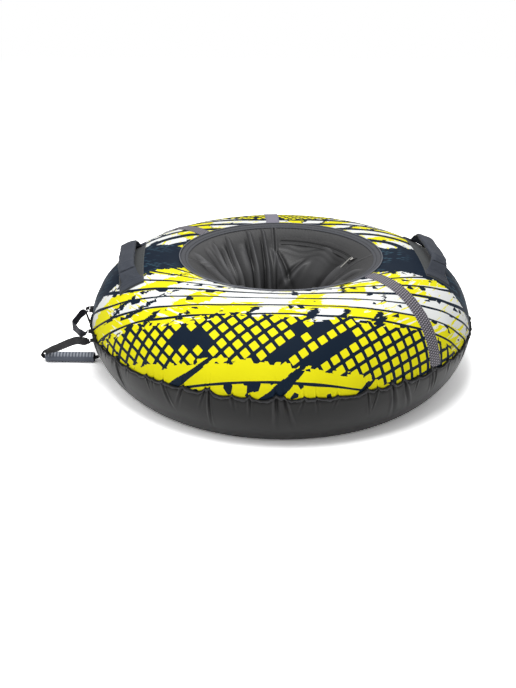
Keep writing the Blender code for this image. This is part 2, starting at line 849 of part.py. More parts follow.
def seam_frame(azimuth, half_span, tab_length, height):
    """Frame on the hinge line of a webbing sewn to the seam at two points.

    X points out of the tube, Y along the hinge line, Z up.
    """
    seam_radius = ring_point(seam_angle, binding_bulge)[0] + gather_depth + touch_gap
    reach = math.sqrt(seam_radius ** 2 - half_span ** 2) + tab_length + web_hinge_gap
    turn = Matrix.Rotation(azimuth, 4, "Z")
    return turn @ Matrix.Translation((reach, 0.0, height))


def make_tabs(name, frame, half_span, tab_length, width, thickness, clearance):
    """The two webbing ends that are sewn into the seam, cut to the shape of its binding."""
    inward = 2 * ring_outer_radius * math.sin(column_angle / 2)
    length = tab_length + inward
    for end, sign in (("front", 1.0), ("rear", -1.0)):
        centre = (-web_hinge_gap - length / 2, sign * half_span, 0.0)
        tab_name = name + "_" + end
        tab = add_part(tab_name, box_mesh(tab_name, (length, width, thickness), centre),
                       "tow_webbing", frame)
        boolean(tab, clearance, "DIFFERENCE")


def make_tow_loop(clearance):
    frame = seam_frame(loop_middle_azimuth, loop_half_span, loop_tab_length, seam_height)
    make_tabs("tow_loop_tab", frame, loop_half_span, loop_tab_length, loop_web_width,
              loop_web_thickness, clearance)
    hinge = add_empty("tow_loop_hinge", frame)
    flat, upright = Vector((0.0, 1.0, 0.0)), Vector((0.0, 0.0, 1.0))
    points, widths = [], []
    for out_share, span_share, twist_share in loop_half_route + loop_half_route[-2::-1]:
        sign = 1.0 if len(points) < len(loop_half_route) else -1.0
        points.append(Vector((loop_reach * out_share, -sign * loop_half_span * span_share,
                              -loop_droop * out_share)))
        widths.append(flat.lerp(upright, twist_share))
    rings = web_rings(spline(points, web_steps), spline(widths, web_steps), loop_web_width,
                      loop_web_thickness)
    add_part("tow_loop", loft("tow_loop", rings), "tow_webbing", frame, hinge)


# Route of the tow strap, and the direction across its width at each point: along world X and Y
# from the middle of its hinge line, and the height above the ground
upper_strand = (
    ((-0.0066, -0.0908, 0.1400), (0.20, -0.90, -0.30)),
    ((-0.0276, -0.0638, 0.1270), (0.25, -0.75, -0.60)),
    ((-0.0576, -0.0338, 0.1050), (0.28, -0.62, -0.72)),
    ((-0.0836, -0.0068, 0.0835), (0.28, -0.62, -0.72)),
    ((-0.1086, 0.0182, 0.0640), (0.25, -0.72, -0.62)),
    ((-0.1306, 0.0412, 0.0485), (0.12, -0.92, -0.35)),
    ((-0.1486, 0.0622, 0.0360), (0.00, -1.00, 0.00)),
)
lower_strand = (
    ((0.0084, 0.0712, 0.0300), (0.00, -1.00, 0.00)),
    ((0.0054, 0.0782, 0.0520), (0.05, -1.00, 0.00)),
    ((-0.0126, 0.0902, 0.0880), (0.10, -1.00, 0.00)),
    ((-0.0296, 0.1022, 0.1260), (0.18, -0.98, 0.00)),
)
# The straight run through the grip, with a turn past each end: along world X, Y and Z from its middle
grip_run = (
    (-0.0805, -0.0005, 0.0120), (-0.0785, 0.0000, 0.0030), (-0.0700, 0.0000, 0.0000),
    (-0.0380, 0.0000, 0.0000), (0.0000, 0.0000, 0.0000), (0.0380, 0.0000, 0.0000),
    (0.0700, 0.0000, 0.0000), (0.0820, 0.0010, 0.0020),
)


def make_tow_handle(clearance):
    frame = seam_frame(strap_middle_azimuth, strap_half_span, strap_tab_length,
                       strap_anchor_height)
    make_tabs("tow_strap_tab", frame, strap_half_span, strap_tab_length, strap_web_width,
              strap_web_thickness, clearance)
    hinge = add_empty("tow_handle_hinge", frame)
    middle = frame.translation.xy.to_3d()
    grip_centre = middle + Vector((*tow_grip_reach, tow_grip_height))
    square = frame.to_3x3() @ Vector((0.0, 1.0, 0.0))
    through = Vector((0.0, -1.0, 0.0))
    lead = strap_web_width / 2
    route = [(frame @ Vector((0.0, strap_half_span, 0.0)), square),
             (frame @ Vector((lead, strap_half_span, -strap_web_thickness)), square)]
    route += [(middle + Vector(point), Vector(across)) for point, across in upper_strand]
    route += [(grip_centre + Vector(point), through) for point in grip_run]
    route += [(middle + Vector(point), Vector(across)) for point, across in lower_strand]
    route += [(frame @ Vector((lead, -strap_half_span, -2 * strap_web_thickness)), square),
              (frame @ Vector((0.0, -strap_half_span, 0.0)), square)]
    points = [point for point, across in route]
    widths = [across for point, across in route]
    rings = web_rings(spline(points, web_steps), spline(widths, web_steps), strap_web_width,
                      strap_web_thickness)
    add_part("tow_strap", loft("tow_strap", rings), "tow_webbing", None, hinge)

    axle = Matrix.Translation(grip_centre) @ Matrix.Rotation(math.pi / 2, 4, "Y")
    spin = add_empty("tow_grip_axis", axle, hinge)
    half = tow_grip_length / 2
    pitch = (tow_grip_length - 2 * tow_grip_end_length) / tow_grip_rib_count
    low = tow_grip_radius - tow_grip_rib_depth
    outline = [(tow_grip_bore_radius, half), (low, half)]
    for rib in range(tow_grip_rib_count):
        top = half - tow_grip_end_length - rib * pitch
        outline.append((tow_grip_radius, top - pitch / 4))
        outline.append((low, top - 3 * pitch / 4))
    outline += [(low, -half), (tow_grip_bore_radius, -half)]
    grip = turned("tow_grip", outline, "grip_rubber", steps=tow_grip_sides)
    grip.parent = spin
    grip.matrix_parent_inverse = spin.matrix_world.inverted()
    grip.matrix_world = axle
    smooth(grip)


# Zip

def zip_strip(name, middle, width, thickness, lift, finish, start, end, columns):
    """A strip along the zip line: a short outline turned through part of a circle."""
    half = width / 2 / ring_half_width
    offset = flat_sag_at_zip() + lift
    ends = [ring_point(middle + half, offset), ring_point(middle - half, offset)]
    strip = add_part(name, outline_mesh(name, [ends], closed=False), finish,
                     Matrix.Rotation(start, 4, "Z"))
    turn_about_z(strip, columns, end - start)
    solidify(strip, thickness, 1.0)


def flat_sag_at_zip():
    """How far the seat's flat columns stand in from its true round at the zip line."""
    return ring_point(zip_section_angle)[0] * (1.0 - math.cos(column_angle / 2))


def slider_frame():
    """Frame on the zip line at the slider: X along the zip, Z off the seat wall."""
    lift = flat_sag_at_zip() + touch_gap + zip_chain_thickness + slider_clearance
    radius, height = ring_point(zip_section_angle, lift)
    radial, up = ring_normal(zip_section_angle)
    out = Vector((math.cos(zip_slider_azimuth), math.sin(zip_slider_azimuth), 0.0))
    x_axis = Vector((-math.sin(zip_slider_azimuth), math.cos(zip_slider_azimuth), 0.0))
    z_axis = radial * out + Vector((0.0, 0.0, up))
    origin = out * radius + Vector((0.0, 0.0, height))
    return frame_matrix(x_axis, z_axis.cross(x_axis), z_axis, origin)


def make_zip():
    lift = touch_gap
    side = (zip_chain_width / 2 + zip_chain_gap + zip_tape_width / 2) / ring_half_width
    for name, middle in (("zip_tape_upper", zip_section_angle - side),
                         ("zip_tape_lower", zip_section_angle + side)):
        zip_strip(name, middle, zip_tape_width, zip_tape_thickness, lift, "zip_cloth",
                  zip_start_azimuth, zip_end_azimuth, zip_columns)
    zip_strip("zip_chain", zip_section_angle, zip_chain_width, zip_chain_thickness, lift,
              "zip_metal", zip_start_azimuth, zip_end_azimuth, zip_columns)

    frame = slider_frame()
    about_z = add_empty("zip_slider_axis", Matrix.Identity(4))
    body = box_mesh("zip_slider", (slider_length, slider_width, slider_thickness),
                    (0.0, 0.0, slider_thickness / 2))
    slider = add_part("zip_slider", body, "zip_metal", frame, about_z)
    edge = slider.modifiers.new("edges", "BEVEL")
    edge.width = slider_thickness / 4
    edge.segments = 1
    # An upright wire ring along the slider, sunk to its middle in the top face
    upright = Matrix.Rotation(math.pi / 2, 4, "X")
    bridge = wire_ring("slider_bridge", slider_bridge_radius, slider_bridge_wire,
                       wire_ring_sides, wire_sides)
    stand = frame @ Matrix.Translation((0.0, 0.0, slider_thickness)) @ upright
    boolean(slider, add_cutter("slider_bridge", bridge, stand), "UNION")

    pivot = frame @ Matrix.Translation((0.0, 0.0, slider_thickness + slider_bridge_radius))
    flip = add_empty("zip_pull_axis", pivot, about_z)
    make_pull(pivot, flip)


def make_pull(pivot, flip):
    """A pull cord whose eye turns round the bridge, lying down the seat wall."""
    mesh = wire_ring("zip_pull", pull_eye_radius, pull_eye_wire, wire_ring_sides, wire_sides)
    mesh.transform(Matrix.Rotation(math.pi / 2, 4, "Y"))
    matrix = pivot @ Matrix.Rotation(-pull_droop, 4, "X")
    pull = add_part("zip_pull", mesh, "pull_cord", matrix, flip)
    size = (pull_width, pull_length, pull_thickness)
    tab = box_mesh("pull_tab", size, (0.0, pull_eye_radius + pull_length / 2, 0.0))
    boolean(pull, add_cutter("pull_tab", tab, matrix), "UNION")
    smooth(pull)


# Valve

def valve_matrix():
    """Frame at the valve, on the middle of a flat of the inner tube: Z points off the tube."""
    offset = -(bottom_cloth + touch_gap)
    upper = Vector(ring_point(valve_row * coarse_row_angle, offset))
    lower = Vector(ring_point((valve_row + 1) * coarse_row_angle, offset))
    radius, height = (upper + lower) / 2
    radius *= math.cos(column_angle / 2)
    run = (lower - upper).normalized()
    out = Vector((math.cos(valve_azimuth), math.sin(valve_azimuth), 0.0))
    z_axis = run.y * out - Vector((0.0, 0.0, run.x))
    x_axis = Vector((-math.sin(valve_azimuth), math.cos(valve_azimuth), 0.0))
    origin = out * radius + Vector((0.0, 0.0, height))
    return frame_matrix(x_axis, z_axis.cross(x_axis), z_axis, origin)


def make_valve():
    """Rubber patch on the inner tube, brass stem through it, core in the stem, and a cap."""
    frame = valve_matrix()
    # The inner tube is faceted, so its flat face lies a little below the true section
    seat = touch_gap
    patch_mesh = cylinder_mesh("valve_patch", valve_patch_radius, seat,
                               seat + valve_patch_thickness, valve_sides)
    patch = add_part("valve_patch", patch_mesh, "tube_rubber", frame)
    bore = cylinder_mesh("valve_patch_bore", valve_stem_radius + touch_gap, -overrun, overrun,
                         valve_sides)
    boolean(patch, add_cutter("valve_patch_bore", bore, frame), "DIFFERENCE")

    flange = valve_stem_radius + valve_patch_thickness
    foot = seat + valve_patch_thickness + touch_gap
    foot_top = foot + valve_patch_thickness / 2
    top = valve_stem_length
    low = -tube_wall
    outline = [(valve_bore_radius, top), (valve_stem_radius, top), (valve_stem_radius, foot_top),
               (flange, foot_top), (flange, foot), (valve_stem_radius, foot),
               (valve_stem_radius, low), (valve_bore_radius, low)]
    make_lathe("valve_stem", outline, "valve_brass", frame)

    core_low = top - valve_core_length
    outline = [(0.0, top - touch_gap), (valve_core_radius, top - touch_gap),
               (valve_core_radius, core_low), (0.0, core_low)]
    make_lathe("valve_core", outline, "valve_brass", frame, closed=False)

    slide = add_empty("valve_cap_axis", frame)
    cap_low = top - valve_cap_length + valve_cap_wall
    ceiling = top + touch_gap
    bore_radius = valve_stem_radius + touch_gap
    outline = [(0.0, ceiling + valve_cap_wall), (valve_cap_radius, ceiling + valve_cap_wall),
               (valve_cap_radius, cap_low), (bore_radius, cap_low), (bore_radius, ceiling),
               (0.0, ceiling)]
    make_lathe("valve_cap", outline, "valve_plastic", frame, slide, closed=False)


def make_lathe(name, outline, finish, frame, parent=None, closed=True):
    """A small turned piece on a frame's Z axis, from an outline down its outer side."""
    piece = turned(name, outline, finish, closed, valve_sides)
    if parent is not None:
        piece.parent = parent
        piece.matrix_parent_inverse = parent.matrix_world.inverted()
    piece.matrix_world = frame
    smooth(piece)


make_cover()
make_inner_tube()
make_seam_binding()
make_seat()
make_rim()
make_tapes()
for handle_side in ("left", "right"):
    make_handle(handle_side)
tab_clearance = make_seam_clearance(4 * binding_half_height)
make_tow_loop(tab_clearance)
make_tow_handle(tab_clearance)
make_zip()
make_valve()
bpy.context.view_layer.update()
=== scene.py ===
import math
import random

import bmesh
import bpy
import numpy as np
from mathutils import Matrix, Vector


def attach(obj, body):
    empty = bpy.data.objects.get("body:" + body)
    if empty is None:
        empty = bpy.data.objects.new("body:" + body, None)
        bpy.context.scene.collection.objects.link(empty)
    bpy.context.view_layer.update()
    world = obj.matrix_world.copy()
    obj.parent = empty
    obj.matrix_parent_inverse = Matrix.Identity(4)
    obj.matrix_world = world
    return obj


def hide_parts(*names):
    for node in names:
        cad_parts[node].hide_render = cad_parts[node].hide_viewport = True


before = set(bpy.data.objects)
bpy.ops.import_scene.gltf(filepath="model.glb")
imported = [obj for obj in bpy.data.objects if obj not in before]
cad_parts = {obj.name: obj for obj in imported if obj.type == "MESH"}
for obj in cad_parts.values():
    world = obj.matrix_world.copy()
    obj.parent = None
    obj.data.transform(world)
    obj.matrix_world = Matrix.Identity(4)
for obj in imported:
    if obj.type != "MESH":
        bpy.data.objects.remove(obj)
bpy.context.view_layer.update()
print("frame loaded:", len(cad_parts), "nodes")


# Node trees

def plug(tree, socket, value):
    if isinstance(value, Value):
        tree.links.new(value.socket, socket)
    elif value is not None:
        socket.default_value = value


class Value:
    # One output socket. Operators on it add Math nodes to its tree.
    def __init__(self, socket):
        self.socket = socket
        self.tree = socket.id_data

    def output(self, name):
        return Value(self.socket.node.outputs[name])

    def math(self, operation, *others, clamp=False, last=False):
        made = self.tree.nodes.new("ShaderNodeMath")
        made.operation = operation
        made.use_clamp = clamp
        for socket, value in zip(made.inputs, (*others, self) if last else (self, *others)):
            plug(self.tree, socket, value)
        return Value(made.outputs[0])

    def over(self, edge, soft):
        # 0 below the edge and 1 above it, over a soft width
        return ((self - edge) / soft).math("ADD", 0.5, clamp=True)


# Python's operators, and short names, for the operations of a Math node. The bar gives the
# larger of two values. The last input is the value itself where it stands on the right.
def operator(operation, last=False):
    return lambda self, *others: self.math(operation, *others, last=last)


for method, operation in {"__add__": "ADD", "__sub__": "SUBTRACT", "__mul__": "MULTIPLY",
                          "__truediv__": "DIVIDE", "__gt__": "GREATER_THAN", "__lt__": "LESS_THAN",
                          "__or__": "MAXIMUM", "floor": "FLOOR", "fract": "FRACT",
                          "abs": "ABSOLUTE", "sine": "SINE", "root": "SQRT"}.items():
    setattr(Value, method, operator(operation))
for method, operation in {"__radd__": "ADD", "__rsub__": "SUBTRACT",
                          "__rmul__": "MULTIPLY"}.items():
    setattr(Value, method, operator(operation, last=True))


class Graph:
    # A node tree that is built from Python expressions
    def __init__(self, tree):
        self.tree = tree

    def node(self, kind, inputs=None, **settings):
        made = self.tree.nodes.new(kind)
        for key, value in settings.items():
            setattr(made, key, value)
        for key, value in (inputs or {}).items():
            plug(self.tree, made.inputs[key], value)
        return Value(made.outputs[0]) if len(made.outputs) else None

    def join(self, x, y, z=0.0):
        return self.node("ShaderNodeCombineXYZ", {0: x, 1: y, 2: z})

    def split(self, vector):
        parts = self.node("ShaderNodeSeparateXYZ", {0: vector})
        return [parts.output(axis) for axis in "XYZ"]

    def mix(self, factor, a, b):
        # The first colour where the factor is 0, and the second one where it is 1
        a, b = [linear(colour) if isinstance(colour, str) else colour for colour in (a, b)]
        made = self.node("ShaderNodeMix", {0: factor, 6: a, 7: b}, data_type="RGBA")
        return Value(made.socket.node.outputs[2])

    def noise(self, vector, scale, detail=2.0, roughness=0.5):
        return self.node("ShaderNodeTexNoise", {"Vector": vector, "Scale": scale,
                                                "Detail": detail, "Roughness": roughness})

    def hash(self, x, y, z):
        # A random number for each place
        return self.node("ShaderNodeTexWhiteNoise", {"Vector": self.join(x, y, z)},
                         noise_dimensions="3D")

    def bump(self, height, strength, distance, normal=None):
        return self.node("ShaderNodeBump", {"Strength": strength, "Distance": distance,
                                            "Height": height, "Normal": normal})

    def clothMap(self):
        return self.node("ShaderNodeUVMap", uv_map="cloth")

    def place(self):
        return self.node("ShaderNodeTexCoord").output("Object")

    # How high or deep the cloth lies in its folds, which sets painted shade and painted highlight
    def fold(self):
        return self.node("ShaderNodeAttribute", attribute_name="fold").output("Fac")

    def weave(self, vector, pitch):
        # A plain weave: two sets of threads that pass over each other
        x, y = self.split(vector)[:2]
        return ((x * (math.pi / pitch)).sine() * (y * (math.pi / pitch)).sine()).abs()


class Finish(Graph):
    # A Principled material. Each value it sets is a number, a colour or a node's output.
    sockets = {"colour": "Base Color", "roughness": "Roughness", "normal": "Normal",
               "specular": "Specular IOR Level", "sheen": "Sheen Weight",
               "sheenRoughness": "Sheen Roughness"}

    def __init__(self, name, **values):
        self.material = bpy.data.materials.new(name)
        self.material.use_nodes = True
        super().__init__(self.material.node_tree)
        self.set(**values)

    def set(self, **values):
        shader = self.tree.nodes["Principled BSDF"]
        for key, value in values.items():
            plug(self.tree, shader.inputs[self.sockets[key]], value)
        return self.material


def linear(code):
    # An sRGB colour code as linear red, green, blue and alpha
    parts = [int(code[k:k + 2], 16) / 255 for k in (1, 3, 5)]
    return tuple(c / 12.92 if c <= 0.04045 else ((c + 0.055) / 1.055) ** 2.4
                 for c in parts) + (1.0,)


def grey(level):
    return (level, level, level, 1.0)


# Camera, floor and light

view = {"distance": 2.43, "elevation": 22.98, "aimHeight": 0.15, "pitch": 0.0399,
        "yaw": -0.0279, "lens": 44.72, "sensor": 36.0}
studio = {"floorSize": 14.0, "worldStrength": 0.43, "floorGlow": 0.06, "floorSeen": 2.15,
          "floorColour": 0.58,
          # Each lamp's place, aim, size and watts
          "lamps": [((-0.15, -0.95, 2.3), (0.0, 0.0, 0.1), 1.1, 30.0),
                    ((-1.7, -1.5, 2.2), (0.0, 0.0, 0.1), 1.5, 12.0),
                    ((0.3, 1.7, 2.4), (0.0, 0.0, 0.2), 1.8, 14.0)]}


def newObject(name, data):
    made = bpy.data.objects.new(name, data)
    bpy.context.scene.collection.objects.link(made)
    return made


def placeCamera():
    low = math.radians(view["elevation"])
    spot = Vector((0.0, -view["distance"] * math.cos(low),
                   view["aimHeight"] + view["distance"] * math.sin(low)))
    down, yaw = low + view["pitch"], view["yaw"]
    ahead = Vector((math.sin(yaw) * math.cos(down), math.cos(yaw) * math.cos(down),
                    -math.sin(down)))
    right = Vector((math.cos(yaw), -math.sin(yaw), 0.0))
    up = right.cross(ahead)
    data = bpy.data.cameras.new("camera")
    data.lens = view["lens"]
    data.sensor_width = view["sensor"]
    camera = newObject("camera", data)
    camera.matrix_world = Matrix([(right[k], up[k], -ahead[k], spot[k]) for k in range(3)]
                                 + [(0.0, 0.0, 0.0, 1.0)])
    bpy.context.scene.camera = camera


def makeFloor():
    # A floor that keeps the object's shadow and looks white beyond it
    half = studio["floorSize"] / 2
    mesh = bpy.data.meshes.new("floor")
    mesh.from_pydata([(-half, -half, 0), (half, -half, 0), (half, half, 0), (-half, half, 0)],
                     [], [(0, 1, 2, 3)])
    floor = newObject("floor", mesh)
    made = bpy.data.materials.new("floor")
    made.use_nodes = True
    made.node_tree.nodes.clear()
    graph = Graph(made.node_tree)
    lit = graph.node("ShaderNodeBsdfDiffuse", {"Color": grey(studio["floorColour"])})
    bright = graph.node("ShaderNodeBsdfDiffuse", {"Color": grey(studio["floorSeen"])})
    glow = graph.node("ShaderNodeEmission", {"Color": grey(1.0),
                                             "Strength": studio["floorGlow"]})
    both = graph.node("ShaderNodeAddShader", {0: bright, 1: glow})
    rays = graph.node("ShaderNodeLightPath")
    seen = rays.output("Is Camera Ray") | rays.output("Is Glossy Ray")
    shown = graph.node("ShaderNodeMixShader", {0: seen, 1: lit, 2: both})
    graph.node("ShaderNodeOutputMaterial", {"Surface": shown})
    mesh.materials.append(made)


def makeSky():
    # Even light all round, from a world that looks white itself
    world = bpy.data.worlds.new("world")
    bpy.context.scene.world = world
    world.use_nodes = True
    world.node_tree.nodes.clear()
    graph = Graph(world.node_tree)
    rays = graph.node("ShaderNodeLightPath")
    seen = rays.output("Is Camera Ray") | rays.output("Is Transmission Ray")
    strength = seen * (1.0 - studio["worldStrength"]) + studio["worldStrength"]
    sky = graph.node("ShaderNodeBackground", {"Color": grey(1.0), "Strength": strength})
    graph.node("ShaderNodeOutputWorld", {"Surface": sky})


def makeLamps():
    for k, (place, aim, size, watts) in enumerate(studio["lamps"]):
        data = bpy.data.lights.new("softbox%d" % k, "AREA")
        data.shape = "DISK"
        data.size = size
        data.energy = watts
        lamp = newObject("softbox%d" % k, data)
        lamp.location = place
        aimed = (Vector(aim) - Vector(place)).to_track_quat("-Z", "Y")
        lamp.rotation_euler = aimed.to_euler()


placeCamera()
makeFloor()
makeSky()
makeLamps()
bpy.context.scene.view_settings.view_transform = "Standard"
print("camera and studio ready")


# Arrays and paths

fullTurn = 2 * math.pi
upright = np.array([0.0, 0.0, 1.0])


def together(*parts):
    # Arrays or numbers side by side along a new last axis
    return np.stack(np.broadcast_arrays(*parts), -1)


def smoothStep(x):
    x = np.clip(x, 0.0, 1.0)
    return x * x * (3 - 2 * x)


def hump(x, centre=0.0, width=1.0, power=2.0):
    # 1 at the centre, falling to 0 on both sides
    return np.exp(-np.abs((x - centre) / width) ** power)


def turnBetween(azimuth, centre):
    return (azimuth - centre + math.pi) % fullTurn - math.pi


def unit(v):
    return v / np.maximum(np.linalg.norm(v, axis=-1, keepdims=True), 1e-12)


def sideways(azimuth):
    # Directions out of the tube and along its seam
    return (np.array([math.cos(azimuth), math.sin(azimuth), 0.0]),
            np.array([-math.sin(azimuth), math.cos(azimuth), 0.0]))


def travelled(path):
    # The distance along a path at each of its points
    steps = np.linalg.norm(np.diff(path, axis=0), axis=1)
    return np.concatenate([[0.0], np.cumsum(steps)])


def smoothPath(points, steps=12):
    # A smooth curve through points in space, with the same number of steps in each stretch
    points = [np.array(point, float) for point in points]
    ends = [2 * points[0] - points[1]] + points + [2 * points[-1] - points[-2]]
    path = []
    for a, b, c, d in zip(ends, ends[1:], ends[2:], ends[3:]):
        for t in np.arange(steps) / steps:
            path.append(0.5 * (2 * b + (c - a) * t + (2 * a - 5 * b + 4 * c - d) * t * t
                               + (3 * b - a - 3 * c + d) * t ** 3))
    return np.array(path + [points[-1]])


def evenPath(points, spacing):
    # The same path with points an even distance apart
    gone = travelled(points)
    stops = np.linspace(0.0, gone[-1], max(int(round(gone[-1] / spacing)), 2) + 1)
    return np.stack([np.interp(stops, gone, column) for column in points.T], -1)


# The inflated ring

ring = {"centre": 0.325, "halfWidth": 0.200, "halfHeight": 0.183, "axisHeight": 0.140,
        "outer": 0.525, "seamHeight": 0.154, "rimRadius": 0.267, "columns": 2400}
seamAngle = math.asin((ring["seamHeight"] - ring["axisHeight"]) / ring["halfHeight"])
rimAngle = math.acos((ring["rimRadius"] - ring["centre"]) / ring["halfWidth"])
azimuths = np.arange(ring["columns"]) * fullTurn / ring["columns"]


def ringPoint(angle, offset=0.0):
    # Radius and height on the section, moved out of the surface by offset
    radius = ring["centre"] + (ring["halfWidth"] + offset) * np.cos(angle)
    height = ring["axisHeight"] + (ring["halfHeight"] + offset) * np.sin(angle)
    return radius, np.maximum(height, 0.0)


def ringNormal(angle):
    out, up = np.cos(angle) / ring["halfWidth"], np.sin(angle) / ring["halfHeight"]
    size = np.hypot(out, up)
    return out / size, up / size


def arcAlong(angles):
    # The distance along the section at each of its angles
    return travelled(together(*ringPoint(angles)))


def spun(radius, height, azimuth):
    return together(radius * np.cos(azimuth), radius * np.sin(azimuth), height)


def coverRow(azimuth, angle, offset):
    radius, height = ringPoint(angle)
    out, up = ringNormal(angle)
    return spun(radius + out * offset, height + up * offset, azimuth)


# Meshes and pieces

def remade(mesh, change, parts=()):
    # The mesh after a change to it in bmesh, with other meshes joined to it first
    bm = bmesh.new()
    for part in (mesh, *parts):
        bm.from_mesh(part)
    change(bm)
    bm.to_mesh(mesh)
    bm.free()
    mesh.shade_smooth()
    return mesh


def welded(mesh, distance=0.00002):
    return remade(mesh, lambda bm: bmesh.ops.remove_doubles(bm, verts=bm.verts, dist=distance))


def closed(mesh):
    # The mesh with its open ends filled
    def close(bm):
        edges = [edge for edge in bm.edges if edge.is_boundary]
        if edges:
            bmesh.ops.holes_fill(bm, edges=edges, sides=0)
        bmesh.ops.recalc_face_normals(bm, faces=bm.faces)

    return remade(mesh, close)


def thickened(mesh, thickness):
    # A solid sheet, with its thickness on the far side of its faces
    def thicken(bm):
        bm.normal_update()
        bmesh.ops.solidify(bm, geom=bm.faces, thickness=thickness)

    return remade(mesh, thicken)


def gridMesh(name, rows, uvs=None, around=False, flip=False, weld=False):
    # A mesh of quads over rows of points
    points = np.array(rows)
    index = np.arange(points.shape[0] * points.shape[1]).reshape(points.shape[:2])
    left = index if around else index[:, :-1]
    right = np.roll(index, -1, axis=1) if around else index[:, 1:]
    quads = np.stack([left[:-1], left[1:], right[1:], right[:-1]], -1).reshape(-1, 4)
    if flip:
        quads = quads[:, ::-1]
    mesh = bpy.data.meshes.new(name)
    mesh.from_pydata(points.reshape(-1, 3).tolist(), [], quads.tolist())
    if uvs is not None:
        corners = np.empty(len(mesh.loops), dtype=np.int32)
        mesh.loops.foreach_get("vertex_index", corners)
        places = np.array(uvs).reshape(-1, 2)[corners].astype(np.float32)
        mesh.uv_layers.new(name="cloth").data.foreach_set("uv", places.ravel())
    if weld:
        welded(mesh)
    mesh.shade_smooth()
    return mesh


def storeFolds(mesh, folds):
    # How high or deep each point lies in the cloth's folds, for the painted shade in its valleys
    # and the painted highlight on its ridges
    values = np.array(folds).ravel().astype(np.float32)
    mesh.attributes.new("fold", "FLOAT", "POINT").data.foreach_set("value", values)


def lineMesh(name, points, loop=False):
    count = len(points)
    edges = [(k, (k + 1) % count) for k in range(count if loop else count - 1)]
    mesh = bpy.data.meshes.new(name)
    mesh.from_pydata([tuple(map(float, point)) for point in points], edges, [])
    return mesh


def addPiece(name, mesh, finish, body, stands=()):
    # A visible piece that rides on a body and stands for some CAD nodes
    piece = newObject(name, mesh)
    mesh.materials.clear()
    mesh.materials.append(finish)
    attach(piece, body)
    if stands:
        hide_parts(*stands)
    return piece


def bandMesh(name, path, across, width, thickness):
    # A rounded flat section swept along a path. Its UV map holds metres along and across it.
    heading = unit(np.gradient(path, axis=0))
    side = unit(across - heading * np.sum(across * heading, axis=-1, keepdims=True))
    up = np.cross(heading, side)
    thick = thickness / 2
    flat = width / 2 - thick
    section = []
    for sign in (1.0, -1.0):
        section += [(sign * (flat + thick * math.cos(turn)), sign * thick * math.sin(turn))
                    for turn in np.linspace(-math.pi / 2, math.pi / 2, 5)]
        section += [(sign * flat * share, sign * thick)
                    for share in (0.66, 0.33, 0.0, -0.33, -0.66)]
    section.append(section[0])
    gone = travelled(path)
    return closed(gridMesh(name, [path + side * x + up * z for x, z in section],
                           [together(gone, x) for x, z in section], weld=True))


# Repeated things, made with Geometry Nodes

def repeatTree(name, numbers):
    # A Geometry Nodes tree with a finish and named numbers as its inputs
    tree = bpy.data.node_groups.new(name, "GeometryNodeTree")
    for way in ("INPUT", "OUTPUT"):
        tree.interface.new_socket("Geometry", in_out=way, socket_type="NodeSocketGeometry")
    for key in numbers:
        kind = "NodeSocketInt" if key == "Count" else "NodeSocketFloat"
        tree.interface.new_socket(key, in_out="INPUT", socket_type=kind)
    tree.interface.new_socket("Finish", in_out="INPUT", socket_type="NodeSocketMaterial")
    graph = Graph(tree)
    return graph, graph.node("NodeGroupInput")


def endTree(graph, given, points, thing, turn, size=None):
    # Puts a thing on each point and gives all of them the finish
    put = graph.node("GeometryNodeInstanceOnPoints", {"Points": points, "Instance": thing,
                                                      "Rotation": turn, "Scale": size})
    real = graph.node("GeometryNodeRealizeInstances", {0: put})
    smooth = graph.node("GeometryNodeSetShadeSmooth", {"Geometry": real})
    painted = graph.node("GeometryNodeSetMaterial", {"Geometry": smooth,
                                                     "Material": given.output("Finish")})
    graph.node("NodeGroupOutput", {"Geometry": painted})
    return graph.tree


def runTree(name):
    # The start of a tree for a run of things along a line of edges: its graph, its inputs, the
    # points at an even pitch, how each is turned, and the size of each thing
    graph, given = repeatTree(name, ("Pitch", "Length", "Width", "Height"))
    line = graph.node("GeometryNodeMeshToCurve", {0: given})
    stops = graph.node("GeometryNodeResampleCurve",
                       {"Curve": line, "Length": given.output("Pitch")}, mode="LENGTH")
    heading = graph.node("GeometryNodeInputTangent")
    turn = graph.node("FunctionNodeAlignRotationToVector", {"Vector": heading}, axis="X")
    size = graph.join(given.output("Length"), given.output("Width"), given.output("Height"))
    return graph, given, stops, turn, size


def stitchTree():
    graph, given, stops, turn, size = runTree("stitchRun")
    bead = graph.node("GeometryNodeMeshUVSphere", {"Segments": 8, "Rings": 5, "Radius": 0.5})
    return endTree(graph, given, stops, bead, turn, size)


def toothTree():
    # Zip teeth on alternate sides of a line
    graph, given, stops, turn, size = runTree("zipTeeth")
    facing = graph.node("GeometryNodeInputNormal")
    side = graph.node("GeometryNodeInputIndex").math("MODULO", 2.0) - 0.5
    shift = graph.node("ShaderNodeVectorMath",
                       {0: facing, "Scale": side * given.output("Width") * 0.55},
                       operation="SCALE")
    moved = graph.node("GeometryNodeSetPosition", {"Geometry": stops, "Offset": shift})
    tooth = graph.node("GeometryNodeMeshCube", {"Size": (1.0, 1.0, 1.0)})
    return endTree(graph, given, moved, tooth, turn, size)


def ribTree():
    # Rounded ribs side by side along a straight grip, each turned across its line
    graph, given = repeatTree("gripRibs", ("Count", "Radius", "Pitch", "Rib"))
    pitch, count = given.output("Pitch"), given.output("Count")
    start = graph.join((count - 1.0) * pitch * -0.5, 0.0)
    row = graph.node("GeometryNodeMeshLine", {"Count": count, "Start Location": start,
                                              "Offset": graph.join(pitch, 0.0)}, mode="OFFSET")
    hoop = graph.node("GeometryNodeCurvePrimitiveCircle", {"Resolution": 48,
                                                           "Radius": given.output("Radius")})
    section = graph.node("GeometryNodeCurvePrimitiveCircle", {"Resolution": 8,
                                                              "Radius": given.output("Rib")})
    rib = graph.node("GeometryNodeCurveToMesh", {"Curve": hoop, "Profile Curve": section})
    across = graph.node("FunctionNodeEulerToRotation", {0: (0.0, math.pi / 2, 0.0)})
    return endTree(graph, given, row, rib, across)


